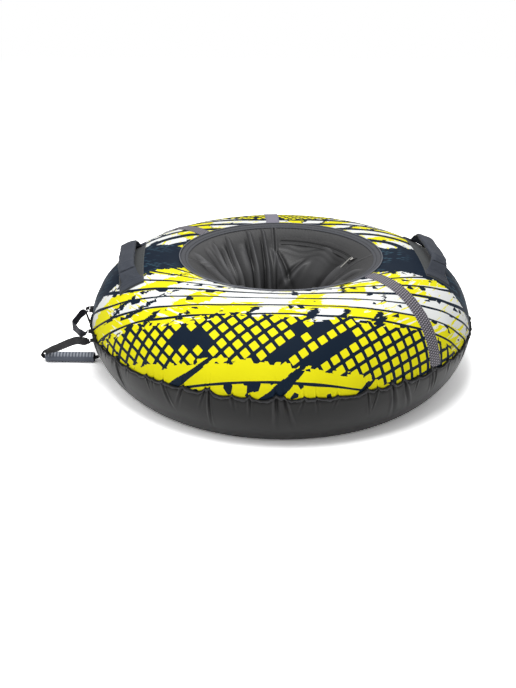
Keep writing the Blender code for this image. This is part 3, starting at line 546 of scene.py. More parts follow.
def grown(name, mesh, tree, values):
    # The mesh that a tree makes from a mesh and named values
    carrier = newObject(name, mesh)
    modifier = carrier.modifiers.new(name, "NODES")
    modifier.node_group = tree
    for socket in tree.interface.items_tree:
        if socket.in_out == "INPUT" and socket.name in values:
            modifier[socket.identifier] = values[socket.name]
    ready = carrier.evaluated_get(bpy.context.evaluated_depsgraph_get())
    made = bpy.data.meshes.new_from_object(ready)
    made.name = name
    bpy.data.objects.remove(carrier, do_unlink=True)
    return made


thread, tabThread, seatThread, zipThread, zipTooth = [
    dict(zip(("Pitch", "Length", "Width", "Height"), sizes)) for sizes in (
        (0.0048, 0.0034, 0.0008, 0.0006), (0.0030, 0.0023, 0.0006, 0.0004),
        (0.0042, 0.0028, 0.0005, 0.0004), (0.0040, 0.0027, 0.0005, 0.0004),
        (0.0026, 0.0017, 0.0030, 0.0012))]
stitchRun = stitchTree()


def stitched(name, lines, finish, sizes=thread, loop=False):
    # Runs of stitches along several lines of points, as one piece
    runs = [grown(name + str(k), lineMesh(name, points, loop), stitchRun,
                  {**sizes, "Finish": finish}) for k, points in enumerate(lines)]
    mesh = remade(bpy.data.meshes.new(name), lambda bm: None, runs)
    addPiece(name, mesh, finish, "cover")


# Gathers along the seam: it sags between points, and a crease runs down from each point

gather = {"count": 78, "seed": 11, "shift": 0.46, "bigPower": 1.9, "width": (0.0013, 0.0030),
          "leastDepth": 0.36, "reach": (0.030, 0.125), "slant": 0.42, "leastPoint": 0.32,
          "spread": (0.0055, 0.0130), "point": 0.0205, "pointPower": 1.05, "sag": 0.0060,
          "lobe": 0.0036, "lobeReach": 0.045, "lobeStart": 0.014, "crease": 0.0062,
          "topReach": 0.014, "topShare": 0.9, "hem": 0.0035, "rimHem": 0.0008,
          "reachShare": (0.45, 1.0), "pointShare": (0.5, 1.0), "slantOver": 0.5,
          "widening": 9, "dent": 0.0007,
          # Long sags of the seam: height, number of waves and start
          "sags": ((0.0009, 23, 1.0), (0.0007, 61, 0.4)),
          # A crease's valley and the ridges beside it: height, place, width and power
          "profile": ((-1.0, 0.0, 1.0, 1.3), (0.75, 2.0, 0.95, 2.0), (0.30, -2.2, 1.2, 2.0))}


def makePuckers():
    chance = random.Random(gather["seed"])
    puckers = []
    for k in range(gather["count"]):
        big = chance.random() ** gather["bigPower"]
        near, far = gather["reach"]
        puckers.append({
            "azimuth": fullTurn * (k + chance.uniform(-gather["shift"], gather["shift"]))
            / gather["count"],
            "width": chance.uniform(*gather["width"]) / ring["outer"],
            "depth": gather["leastDepth"] + (1 - gather["leastDepth"]) * big,
            "reach": near + far * big * chance.uniform(*gather["reachShare"]),
            "slant": chance.uniform(-gather["slant"], gather["slant"]),
            "side": chance.choice((-1.0, 1.0)),
            "point": (gather["leastPoint"] + (1 - gather["leastPoint"]) * big)
            * chance.uniform(*gather["pointShare"]),
            "spread": chance.uniform(*gather["spread"]) / ring["outer"],
        })
    return puckers


puckers = makePuckers()


def seamDrop(azimuth):
    # How far the seam line lies below its level
    drop = gather["sag"]
    for p in puckers:
        x = turnBetween(azimuth, p["azimuth"]) / p["spread"]
        drop = drop - gather["point"] * p["point"] * hump(x, power=gather["pointPower"])
    for size, count, start in gather["sags"]:
        drop = drop + size * np.sin(count * azimuth + start)
    return drop


def lobe(below):
    # The cloth bulges a little way below the seam and is drawn in at the seam itself
    return (gather["lobe"] * np.exp(-below / gather["lobeReach"])
            * smoothStep(below / gather["lobeStart"]))


def creases(azimuth, below):
    # Height of the cloth at a distance below the seam: sharp valleys with a ridge beside each
    push = lobe(below)
    for p in puckers:
        x = turnBetween(azimuth - p["slant"] * below / gather["slantOver"], p["azimuth"])
        x = x / (p["width"] * (1 + gather["widening"] * below))
        fade = smoothStep(1.0 - below / p["reach"])
        valley = sum(high * hump(x, at * p["side"], wide, power)
                     for high, at, wide, power in gather["profile"])
        push = push + gather["crease"] * p["depth"] * fade * valley
    return push


seamRow = seamAngle - seamDrop(azimuths) / ring["halfHeight"]
seamFolds = creases(azimuths, 0.0)
seamHem = coverRow(azimuths, seamRow, -gather["hem"])


def makeTopCover(finish):
    shares = np.concatenate([np.linspace(0.0, 0.86, 22)[:-1], np.linspace(0.86, 1.0, 14)])
    fullArc = arcAlong(np.linspace(rimAngle, seamAngle, 400))[-1]
    # The print lies on the cloth by its distance from the rim, so the gathers cut it off
    marks = np.linspace(rimAngle, seamAngle - 0.15, 600)
    gone = arcAlong(marks)
    rows, uvs = [], []
    for share in shares:
        angle = rimAngle + (seamRow - rimAngle) * share
        fade = np.exp(-(1.0 - share) * fullArc / gather["topReach"])
        # Soft dents where the print cloth is pulled to the seam
        dents = (gather["dent"] * np.sin(31 * azimuths + 9 * share)
                 * smoothStep(share * 1.4 - 0.2))
        rows.append(coverRow(azimuths, angle, seamFolds * fade * gather["topShare"] + dents))
        flat = ring["rimRadius"] + np.interp(-angle, -marks, gone)
        uvs.append(together(flat * np.cos(azimuths), flat * np.sin(azimuths)))
    rimHem = coverRow(azimuths, rimAngle + 0.02, -gather["rimHem"])
    mesh = gridMesh("topCover", [rimHem, *rows, seamHem], [uvs[0], *uvs, uvs[-1]], around=True)
    addPiece("topCover", mesh, finish, "cover", ["cover_top"])


def makeBottomCover(finish):
    low = math.asin(-ring["axisHeight"] / ring["halfHeight"])
    shares = np.concatenate([np.linspace(0.0, 0.12, 8)[:-1], np.linspace(0.12, 0.65, 18)[:-1],
                             np.linspace(0.65, 1.0, 8)])
    fullArc = arcAlong(np.linspace(low, seamAngle, 400))[-1]
    around, plain = azimuths * ring["centre"], 0.0 * azimuths
    rows, uvs, folds = [seamHem], [together(around, 0.0)], [plain]
    for share in shares:
        below = share * fullArc
        offset = creases(azimuths, below) * smoothStep((1.0 - share) * 5)
        row = coverRow(azimuths, seamRow + (low - seamRow) * share, offset)
        # No fold dips below the ground
        row[:, 2] = np.maximum(row[:, 2], 0.0)
        rows.append(row)
        uvs.append(together(around, below))
        folds.append((offset - lobe(below)) / gather["crease"])
    flatRadius = ringPoint(low)[0]
    for share in (0.97, 0.9, 0.75, 0.5, 0.25, 0.0):
        rows.append(spun(flatRadius * share, 0.0, azimuths))
        uvs.append(together(around, fullArc + (1 - share) * flatRadius))
        folds.append(plain)
    mesh = gridMesh("bottomCover", rows, uvs, around=True)
    storeFolds(mesh, folds)
    addPiece("bottomCover", welded(mesh), finish, "cover", ["cover_bottom"])


frill = {"seed": 3, "waves": 10, "below": 0.0024, "tall": 0.0040, "stand": 0.0072,
         "leastStand": 0.005, "mostStand": 0.0135, "sunk": 0.0012,
         "belowRipple": 0.0004, "tallRipple": 0.30, "standRipple": 0.0018}


def makeSeamFrill(finish):
    # A rolled edge that follows the points and sags of the seam
    chance = random.Random(frill["seed"])
    waves = [(chance.randint(30, 190), chance.uniform(0, 6.3), chance.uniform(0.3, 1.0))
             for k in range(frill["waves"])]
    ripple = sum(size * np.sin(count * azimuths + start) for count, start, size in waves) / 4.0
    middle = seamRow - (frill["below"] + frill["belowRipple"] * ripple) / ring["halfHeight"]
    tall = frill["tall"] * (1.0 + 0.22 * np.sin(47 * azimuths + 0.7)
                            + frill["tallRipple"] * ripple)
    stand = frill["stand"] + frill["standRipple"] * ripple + np.maximum(seamFolds, -0.001)
    stand = np.clip(stand, frill["leastStand"], frill["mostStand"])
    rows, uvs = [], []
    for turn in np.linspace(0.0, fullTurn, 13):
        side, lift = math.cos(turn), math.sin(turn)
        rows.append(coverRow(azimuths, middle + side * tall / ring["halfHeight"],
                             stand * (0.50 + 0.50 * lift) - frill["sunk"]))
        uvs.append(together(azimuths * ring["outer"], side))
    mesh = gridMesh("seamFrill", rows, uvs, around=True, weld=True, flip=True)
    addPiece("seamFrill", mesh, finish, "cover", ["seam_binding"])


def makeInnerTube(finish):
    # The air chamber inside, a little clear of the folds
    inset, floor, columns = 0.0042, 0.0035, 180
    around = np.arange(columns) * fullTurn / columns
    rows = []
    for angle in np.linspace(0.0, fullTurn, 73):
        radius, height = ringPoint(angle, -inset)
        rows.append(spun(radius, max(height, floor), around))
    mesh = gridMesh("innerTube", rows, around=True, weld=True, flip=True)
    addPiece("inner_tube_rubber", mesh, finish, "cover", ["inner_tube"])


# Tow strap: a free webbing from the seam, through the grip and back to the seam

strap = {"azimuth": math.radians(191.75), "halfSpan": 0.1125, "hingeRadius": 0.5315,
         "height": 0.150, "width": 0.022, "thickness": 0.0022, "tab": 0.0120, "clear": 0.0013,
         "gripReach": (-0.0816, 0.0662), "gripHeight": 0.0145, "spacing": 0.0035,
         "lean": 0.45}
# Places from the middle of the hinge line, and the direction across the webbing
upperStrand = (
    ((-0.0066, -0.0908, 0.1400), (0.20, -0.90, -0.30)),
    ((-0.0276, -0.0638, 0.1270), (0.25, -0.75, -0.60)),
    ((-0.0576, -0.0338, 0.1050), (0.28, -0.62, -0.72)),
    ((-0.0836, -0.0068, 0.0835), (0.28, -0.62, -0.72)),
    ((-0.1086, 0.0182, 0.0640), (0.25, -0.72, -0.62)),
    ((-0.1306, 0.0412, 0.0485), (0.12, -0.92, -0.35)),
    ((-0.1486, 0.0622, 0.0360), (0.00, -1.00, 0.00)),
)
lowerStrand = (
    ((0.0084, 0.0712, 0.0300), (0.00, -1.00, 0.00)),
    ((0.0054, 0.0782, 0.0520), (0.05, -1.00, 0.00)),
    ((-0.0126, 0.0902, 0.0880), (0.10, -1.00, 0.00)),
    ((-0.0296, 0.1022, 0.1260), (0.18, -0.98, 0.00)),
)
# Places from the middle of the grip
gripRun = (
    (-0.0805, -0.0005, 0.0120), (-0.0785, 0.0, 0.0030), (-0.0700, 0.0, 0.0),
    (-0.0380, 0.0, 0.0), (0.0, 0.0, 0.0), (0.0380, 0.0, 0.0), (0.0700, 0.0, 0.0),
    (0.0820, 0.0010, 0.0020),
)
grip = {"length": 0.140, "core": 0.0139, "bore": 0.0118, "lip": 0.0016, "ribs": 14,
        "pitch": 0.0092, "rib": 0.0012, "ribRadius": 0.0142}
hinge = sideways(strap["azimuth"])[0] * strap["hingeRadius"]
gripCentre = hinge + np.array([*strap["gripReach"], strap["gripHeight"]])


def makeTowStrap(finish):
    out, along = sideways(strap["azimuth"])
    top = hinge + upright * strap["height"]
    start, lead = out * strap["clear"], out * strap["width"] / 2
    half, thick = along * strap["halfSpan"], upright * strap["thickness"]
    route = [(top + start + half, along),
             (top + lead + half - thick, along - upright * strap["lean"])]
    route += [(hinge + place, across) for place, across in upperStrand]
    route += [(gripCentre + place, (0.0, -1.0, 0.0)) for place in gripRun]
    route += [(hinge + place, across) for place, across in lowerStrand]
    route += [(top + lead - half - thick * 2, along), (top + start - half, along)]
    points, across = zip(*route)
    path = evenPath(np.hstack([smoothPath(points), smoothPath(across)]), strap["spacing"])
    mesh = bandMesh("towStrap", path[:, :3], unit(path[:, 3:]), strap["width"],
                    strap["thickness"])
    piece = addPiece("towStrap", mesh, finish, "tow_handle", ["tow_strap"])


def makeTowGrip(finish):
    # A tube with rounded lips, and raised ribs round it
    half, lip, core, bore = grip["length"] / 2, grip["lip"], grip["core"], grip["bore"]
    inner = half - 2 * lip
    around = np.linspace(0.0, fullTurn, 49)[:-1]
    rounded = [(-half + lip + lip * math.cos(turn), core - lip / 2 + lip * math.sin(turn))
               for turn in np.linspace(math.pi, math.pi / 2, 6)]
    section = [(-inner, bore), *rounded]
    section += [(x, core + lip / 2) for x in np.linspace(-inner, inner, 9)]
    section += [(-x, radius) for x, radius in rounded[::-1]]
    section += [(inner, bore), (-inner, bore)]
    rows = [together(x, r * np.cos(around), r * np.sin(around)) for x, r in section]
    tube = gridMesh("towGrip", rows, around=True, weld=True)
    ribs = grown("gripRibs", lineMesh("gripRibs", [(0, 0, 0), (0.001, 0, 0)]), ribTree(),
                 {"Count": grip["ribs"], "Radius": grip["ribRadius"], "Pitch": grip["pitch"],
                  "Rib": grip["rib"], "Finish": finish})

    def settle(bm):
        bmesh.ops.recalc_face_normals(bm, faces=bm.faces)
        bmesh.ops.translate(bm, verts=bm.verts, vec=Vector(gripCentre))

    mesh = remade(tube, settle, [ribs])
    return addPiece("towGrip", mesh, finish, "tow_grip", ["tow_grip"])


# Tow loop, and the ends of both webbings that are sewn into the seam

loop = {"azimuth": math.radians(190.75), "halfSpan": 0.0715, "hingeRadius": 0.53477,
        "height": 0.154, "reach": 0.0435, "droop": 0.010, "width": 0.025, "thickness": 0.0024,
        "tab": 0.0080, "spacing": 0.0025}
# Half of the loop's route: shares of its reach, its half span and its quarter turn
loopHalf = ((0.04, 1.0, 0.0), (0.28, 0.985, 0.65), (0.52, 0.88, 0.88), (0.78, 0.42, 1.0),
            (0.95, 0.17, 1.0), (1.0, 0.0, 1.0))
tabs = {"gap": 0.0004, "tucked": 0.004, "spacing": 0.002, "stitchesAt": (0.0022, 0.0046),
        "stitchMargin": 0.003, "threadLift": 0.0001}


def makeTowLoop(finish):
    out, along = sideways(loop["azimuth"])
    start = out * loop["hingeRadius"] + upright * loop["height"]
    away = out * loop["reach"] - upright * loop["droop"]
    points, across = [], []
    for k, (reach, span, twist) in enumerate(loopHalf + loopHalf[-2::-1]):
        sign = 1.0 if k < len(loopHalf) else -1.0
        points.append(start + away * reach - along * sign * loop["halfSpan"] * span)
        across.append(along * (1 - twist) + upright * twist)
    both = evenPath(np.hstack([smoothPath(points), smoothPath(across)]), loop["spacing"])
    mesh = bandMesh("towLoop", both[:, :3], unit(both[:, 3:]), loop["width"], loop["thickness"])
    addPiece("towLoop", mesh, finish, "tow_loop", ["tow_loop"])


def makeTabs(finish, threadFinish):
    lines = []
    for node, part in (("tow_loop_tab", loop), ("tow_strap_tab", strap)):
        out, along = sideways(part["azimuth"])
        for end, sign in (("front", 1.0), ("rear", -1.0)):
            tip = (out * (part["hingeRadius"] - tabs["gap"]) + along * sign * part["halfSpan"]
                   + upright * part["height"])
            sewn = tip - out * (part["tab"] + tabs["tucked"])
            path = evenPath(np.array([sewn, tip]), tabs["spacing"])
            mesh = bandMesh(node + end, path, np.tile(along, (len(path), 1)), part["width"],
                            part["thickness"])
            addPiece("%s_%s_sewn" % (node, end), mesh, finish, "cover",
                     ["%s_%s" % (node, end)])
            for back in tabs["stitchesAt"]:
                high = part["thickness"] / 2 + tabs["threadLift"]
                middle = tip - out * back + upright * high
                reach = along * (part["width"] / 2 - tabs["stitchMargin"])
                lines.append([middle - reach, middle + reach])
    stitched("tabStitches", lines, threadFinish, tabThread)


# Woven tapes across the top cover

tape = {"width": 0.040, "start": math.radians(103.5), "end": math.radians(5.6),
        "edgeLift": 0.0003, "lift": 0.0019, "stitchLift": 0.0022, "stitchAt": 0.86,
        "ripple": 0.00025, "ripplePace": 260}
# Azimuth of each tape's middle line at the rim and at the seam, in degrees
tapeLines = {"tape_front_right": (-35.5, -43.5), "tape_back": (95.0, 95.0),
             "tape_back_left": (142.5, 142.5)}
sectionAngles = np.linspace(math.radians(160), math.radians(-5), 900)
sectionGone = arcAlong(sectionAngles)


def onRing(angles, azimuth, beside, lift):
    # Points on the cover beside a line on it. The line is angles and azimuths, and beside is
    # the distance to its left, measured in the cover's surface.
    gone = np.interp(-angles, -sectionAngles, sectionGone)
    down, across = np.gradient(gone), ringPoint(angles)[0] * np.gradient(azimuth)
    size = np.maximum(np.hypot(down, across), 1e-9)
    placed = np.interp(gone - beside * across / size, sectionGone, sectionAngles)
    radius = ringPoint(placed)[0]
    return coverRow(azimuth + beside * down / size / radius, placed, lift)


def makeTapes(finishes, threadFinish):
    lines = []
    angles = np.linspace(tape["start"], tape["end"], 150)
    radius, gone, half = ringPoint(angles)[0], arcAlong(angles), tape["width"] / 2
    for node, ends in tapeLines.items():
        # The middle line is straight in plan
        first, last = [r * sideways(math.radians(end))[0][:2]
                       for r, end in zip((radius[0], radius[-1]), ends)]
        run = unit(last - first)
        ahead = first @ run
        reach = -ahead + np.sqrt(ahead ** 2 - first @ first + radius ** 2)
        plan = first + reach[:, None] * run
        azimuth = np.unwrap(np.arctan2(plan[:, 1], plan[:, 0]))
        rows, uvs = [], []
        shares = np.concatenate([[-1.0, -1.0], np.linspace(-0.97, 0.97, 13), [1.0, 1.0]])
        for k, share in enumerate(shares):
            lift = tape["edgeLift"] if k in (0, len(shares) - 1) else tape["lift"]
            ripple = tape["ripple"] * np.sin(gone * tape["ripplePace"]) * abs(share)
            rows.append(onRing(angles, azimuth, share * half, lift + ripple))
            uvs.append(together(gone, share * half))
        mesh = gridMesh(node + "Woven", rows, uvs, flip=True)
        addPiece(node + "_woven", mesh, finishes[node], "cover", [node])
        for share in (-tape["stitchAt"], tape["stitchAt"]):
            lines.append(onRing(angles, azimuth, share * half, tape["stitchLift"])[4:-4])
    stitched("tapeStitches", lines, threadFinish)


# Side handles: a base patch, a padded grip and its sewn ends

handle = {"azimuths": {"left": math.radians(187), "right": math.radians(4)},
          "angle": math.radians(65.5), "hinge": 0.017, "crown": 0.027, "half": 0.1035,
          "bend": 0.024, "width": 0.046, "depth": 0.0150, "pinch": 0.0066,
          "patchLength": 0.320, "patchWidth": 0.072, "patchLift": 0.0019, "patchEdge": 0.0004,
          "patchStitch": 0.004, "patchStitchLift": 0.0022, "patchSpacing": 0.004,
          "rounding": (0.42, 0.72),
          "endMargin": 0.0025, "endStart": 0.0006, "endTip": 0.0035, "endCloth": 0.0013,
          "endLow": 0.0036, "endLift": 0.0032, "endEdge": 0.0012, "endStitchLift": 0.0047,
          "endStitchReach": 0.86, "endStitchRows": (21, 31)}


def handlePoint(side, x, y, z):
    # A place from the handle's origin on the cover: down the slope, along the grip and off it
    radius, height = ringPoint(handle["angle"])
    out, up = ringNormal(handle["angle"])
    radial, along = sideways(handle["azimuths"][side])
    x, y, z = (np.asarray(part)[..., None] for part in (x, y, z))
    return (radial * radius + upright * height + x * (up * radial - out * upright) + y * along
            + z * (out * radial + up * upright))


def coverBelow(side, x, y):
    # How high the cover stands in the handle's frame at a place beside its origin
    x, y = np.broadcast_arrays(np.asarray(x, float), np.asarray(y, float))
    z = np.zeros_like(x)
    for step in range(6):
        place = handlePoint(side, x, y, z)
        radius = np.hypot(place[..., 0], place[..., 1])
        share = np.clip((radius - ring["centre"]) / ring["halfWidth"], -0.999, 0.999)
        surface = ring["axisHeight"] + ring["halfHeight"] * np.sqrt(1 - share ** 2)
        z = z + (surface - place[..., 2]) * ringNormal(handle["angle"])[1] * 0.9
    return z


def onCover(side, x, y, lift):
    return handlePoint(side, x, y, coverBelow(side, x, y) + lift)


def gripLine(share):
    # Places along the grip and their heights: it bends up steeply at its ends
    along = share * handle["half"]
    rest = np.clip((handle["half"] - np.abs(along)) / handle["bend"], 0.0, 1.0)
    bow = 0.86 * (1.0 - (1.0 - rest) ** 2) + 0.14 * (1.0 - share ** 2)
    return along, handle["hinge"] + (handle["crown"] - handle["hinge"]) * bow


def makePaddedGrip(side, finish):
    # Pinched at its ends, with folds where it bends
    body = "handle_" + side
    shares = np.concatenate([np.linspace(-1, -0.72, 30)[:-1], np.linspace(-0.72, 0.72, 60)[:-1],
                             np.linspace(0.72, 1, 30)])
    along, height = gripLine(shares)
    slope = np.gradient(height, along)
    up = unit(together(-slope, 1.0))
    end = 1 - np.abs(shares)
    full = smoothStep(end * handle["half"] / (handle["bend"] * 1.25))
    depth = handle["pinch"] + (handle["depth"] - handle["pinch"]) * full
    fan = hump(end, width=0.20) * (1 - hump(end, width=0.02))
    around = np.linspace(0, fullTurn, 49)
    seed = 0.0 if side == "left" else 2.1
    rows = []
    for turn in around[:-1]:
        c, s = math.cos(turn), math.sin(turn)
        x = (handle["width"] / 2 * math.copysign(abs(c) ** handle["rounding"][0], c)
             * (1 + 0.02 * np.sin(19 * shares + seed)))
        # Pull folds that fan out from the pinched ends, and soft waves along the padding
        fold = fan * (0.0016 * np.sin(x * 230 + 5 * shares + seed)
                      + 0.0009 * np.sin(shares * 46 + x * 60))
        wave = 0.0006 * np.sin(shares * 7 + x * 60 + seed) * full
        z = (depth / 2 * math.copysign(abs(s) ** handle["rounding"][1], s)
             + (fold + wave) * (1.0 if s > 0 else 0.35))
        placed = np.clip(along + z * up[:, 0], -handle["half"], handle["half"])
        rows.append(handlePoint(side, x, placed, height + z * up[:, 1]))
    turns = [*around[:-1], 0.0]
    mesh = gridMesh(body + "Grip", [*rows, rows[0]], [together(along, t * 0.01) for t in turns],
                    weld=True)
    sleeve = addPiece(body + "_padded_grip", closed(mesh), finish, body,
                      [body + "_sleeve", body + "_foam", body + "_webbing"])


def makePatch(side, finish):
    # The patch under the grip follows the cover. Returns its line of stitches.
    half, reach = handle["patchWidth"] / 2, handle["patchLength"] / 2
    x, y = np.meshgrid(np.concatenate([[-half], np.linspace(-half, half, 21), [half]]),
                       np.concatenate([[-reach], np.linspace(-reach, reach, 61), [reach]]),
                       indexing="ij")
    lift = np.full(x.shape, handle["patchLift"])
    lift[0, :] = lift[-1, :] = lift[:, 0] = lift[:, -1] = handle["patchEdge"]
    pucker = 0.0003 * np.sin(y * 320) * hump(half - np.abs(x), width=0.008)
    mesh = gridMesh("handle_%sPatch" % side, onCover(side, x, y, lift + pucker),
                    together(x, y), flip=True)
    addPiece("handle_%s_base_patch" % side, mesh, finish, "cover",
             ["handle_%s_patch" % side])
    a, b = half - handle["patchStitch"], reach - handle["patchStitch"]
    border = evenPath(np.array([(-a, -b), (a, -b), (a, b), (-a, b), (-a, -b)]),
                      handle["patchSpacing"])
    return onCover(side, border[:, 0], border[:, 1], handle["patchStitchLift"])


def makeSewnEnd(side, end, finish):
    # Widens from the grip to the patch's end and lies down on it. Returns its lines of stitches.
    body = "handle_" + side
    sign = 1.0 if (end == "front") == (side == "left") else -1.0
    narrow = handle["width"] / 2
    broad = handle["patchWidth"] / 2 - handle["endMargin"]
    t = np.linspace(0.0, 1.0, 36)
    y = (handle["half"] + handle["endStart"]
         + t * (handle["patchLength"] / 2 - handle["endTip"] - handle["half"]))
    low = coverBelow(side, 0.0, sign * y) + handle["endLow"]
    drop = smoothStep(t * 3.2)
    height = handle["hinge"] * (1 - drop) + low * drop
    widen = narrow + (broad - narrow) * smoothStep((t - 0.12) * 1.7)
    rows, uvs = [], []
    shares = np.concatenate([[-1.0], np.linspace(-1.0, 1.0, 25), [1.0]])
    for k, share in enumerate(shares):
        wide = share * widen
        lying = coverBelow(side, wide, sign * y) + handle["endLift"] + height - low
        z = lying * drop + height * (1 - drop)
        # Folds that run in from the corners of the grip's end
        fold = (0.0019 * hump(t, 0.16 + 0.20 * abs(share), 0.045)
                + 0.0010 * hump(t, 0.34 - 0.16 * share, 0.05))
        rolled = -handle["endEdge"] if k in (0, len(shares) - 1) else 0.0
        rows.append(handlePoint(side, wide, sign * y, z + fold * (t > 0.02) + rolled))
        uvs.append(together(wide, y))
    mesh = gridMesh(body + end, rows, uvs, flip=sign > 0)
    addPiece("%s_%s_end" % (body, end), thickened(mesh, handle["endCloth"]), finish, "cover",
             ["%s_anchor_%s" % (body, end)])
    reach = np.linspace(-1.0, 1.0, 30) * handle["endStitchReach"]
    return [onCover(side, reach * widen[k], sign * y[k], handle["endStitchLift"])
            for k in handle["endStitchRows"]]


def makeHandle(side, clothFinish, patchFinish, threadFinish):
    makePaddedGrip(side, clothFinish)
    lines = [makePatch(side, patchFinish)]
    for end in ("front", "rear"):
        lines += makeSewnEnd(side, end, clothFinish)
    stitched("handle_%s_stitches" % side, lines, threadFinish)


# Seat: four hanging panels, with folds where the cloth is slack

seat = {"leave": math.radians(136), "wall": math.radians(176), "slack": 0.0065,
        "waist": (0.106, 0.100), "low": (0.092, 0.055), "foot": (0.0705, 0.024),
        "firstSeam": math.radians(5), "rows": 100, "columns": 240, "uvRadius": 0.2,
        "baseRadius": 0.0702, "baseHeight": 0.0240, "foldHeight": 0.010, "touch": 0.0004,
        "stitchLift": 0.0003, "stitchColumn": 7, "stitchSpacing": 0.003, "pathSpacing": 0.0036,
        # Height, and then place and width beside a seam
        "seamGroove": (0.0016, 0.0, 0.0014), "seamRoll": (0.0018, 0.0050, 0.0030)}
# Each fold: azimuth at its top and its foot in degrees, its start and end below the rim, its
# width and its depth, and the side on which it rolls over
seatFolds = (
    # Pleats on the left of the back seam, which hang straight down
    (150, 206, 0.030, 0.180, 0.0100, 0.0035, 1), (142, 200, 0.020, 0.270, 0.0080, 0.0090, -1),
    (135, 182, 0.050, 0.210, 0.0060, 0.0060, 1), (129, 168, 0.018, 0.310, 0.0070, 0.0100, 1),
    (121, 140, 0.060, 0.260, 0.0130, 0.0055, -1), (113, 126, 0.010, 0.320, 0.0075, 0.0110, 1),
    (103, 106, 0.008, 0.340, 0.0055, 0.0100, 1),
    # A roll with a hollow below it at the left end
    (171, 236, 0.010, 0.190, 0.0200, 0.0105, 1),
    # Ridges that meet low down in the middle of the back
    (112, 59, 0.085, 0.235, 0.0085, 0.0110, -1), (24, 126, 0.110, 0.235, 0.0100, 0.0060, 1),
    # Soft folds on the right and at the front
    (46, 42, 0.045, 0.330, 0.0300, 0.0028, -1), (8, 34, 0.080, 0.330, 0.0150, 0.0080, 1),
    (340, 352, 0.030, 0.330, 0.0150, 0.0080, -1), (316, 328, 0.040, 0.330, 0.0150, 0.0080, 1),
    (294, 300, 0.040, 0.330, 0.0150, 0.0080, -1), (266, 262, 0.040, 0.330, 0.0150, 0.0080, 1),
    (240, 244, 0.040, 0.330, 0.0150, 0.0080, -1),
)


def seatProfile():
    # The seat's section from its rim to its base: radius, height, distance from the rim, the
    # normal on the face that is sat on, and how slack the cloth is
    angle = np.linspace(rimAngle + 0.003, seat["wall"], 90)
    share = 2 * (angle - seat["leave"]) / (seat["wall"] - seat["leave"])
    upper = together(*ringPoint(angle, seat["slack"] * smoothStep(share)))
    lower = smoothPath([upper[-6], seat["waist"], seat["low"], seat["foot"]], 14)
    lower = lower[lower[:, 1] < upper[-1, 1] - 0.004]
    path = evenPath(np.vstack([upper, lower]), seat["pathSpacing"])
    gone = travelled(path)
    down = np.linspace(0.0, gone[-1], seat["rows"])
    radius, height = np.interp(down, gone, path[:, 0]), np.interp(down, gone, path[:, 1])
    out, up = np.gradient(radius, down), np.gradient(height, down)
    size = np.hypot(out, up)
    return radius, height, down, up / size, -out / size, smoothStep((down - 0.035) / 0.09)


def seatPush(azimuth, down, radius, slack, length):
    # How far the cloth stands off its plain shape
    push = 0.0 * azimuth
    for top, foot, start, end, width, depth, side in seatFolds:
        centre = math.radians(top) + math.radians(foot - top) * down / length
        x = turnBetween(azimuth, centre) * radius / (width * (0.75 + 0.9 * down / length))
        fade = smoothStep((down - start) / 0.035) * smoothStep((end - down) / 0.05)
        push = push + depth * fade * (hump(x, power=1.7) - 0.55 * hump(x, 1.55 * side, 0.8))
    # Fine puckers close to the rim and the base, and beside the zip
    rimPucker = 0.0005 * np.sin(170 * azimuth + 2 * np.sin(7 * azimuth)) * np.exp(-down / 0.018)
    basePucker = (0.0016 * np.sin(46 * azimuth + 1.3 * np.sin(5 * azimuth))
                  * smoothStep((down - length + 0.07) / 0.05))
    zipPucker = (0.0011 * hump(turnBetween(azimuth, math.radians(52)), width=0.55)
                 * np.sin(down * 330 + 2.2 * np.sin(9 * azimuth))
                 * smoothStep((down - 0.045) / 0.02) * smoothStep((0.13 - down) / 0.03))
    # The cloth can't sink into the tube behind it
    push = np.maximum(push + rimPucker + basePucker + zipPucker,
                      -seat["touch"] - seat["slack"] * slack)
    return np.where(down > length - 0.004, 0.0, push)


def makeSeat(finish, threadFinish):
    radius, height, down, out, up, slack = seatProfile()
    share = np.linspace(0.0, 1.0, seat["columns"])
    lines = []
    for k, place in enumerate(("back_right", "back_left", "front_left", "front_right")):
        node = "seat_panel_" + place
        azimuth = seat["firstSeam"] + (k + share) * math.pi / 2
        rows, uvs, folds = [], [], []
        for j in range(seat["rows"]):
            push = seatPush(azimuth, down[j], radius[j], slack[j], down[-1])
            if 0 < j < seat["rows"] - 1:
                # Each seam is a groove with a soft roll beside it
                near = np.minimum(share, 1 - share) * math.pi / 2 * radius[j]
                groove, roll = seat["seamGroove"], seat["seamRoll"]
                push = push - groove[0] * hump(near, *groove[1:])
                push = push + roll[0] * hump(near, *roll[1:])
            folds.append(push / seat["foldHeight"])
            rows.append(spun(radius[j] + out[j] * push, height[j] + up[j] * push, azimuth))
            uvs.append(together(azimuth * seat["uvRadius"], down[j]))
        mesh = gridMesh(node + "Cloth", rows, uvs)
        storeFolds(mesh, folds)
        addPiece(node + "_cloth", mesh, finish, "cover", [node])
        for column in (seat["stitchColumn"], -1 - seat["stitchColumn"]):
            lines.append(evenPath(np.array(rows)[4:-3, column] + upright * seat["stitchLift"],
                                  seat["stitchSpacing"]))
    stitched("seatStitches", lines, threadFinish, seatThread)


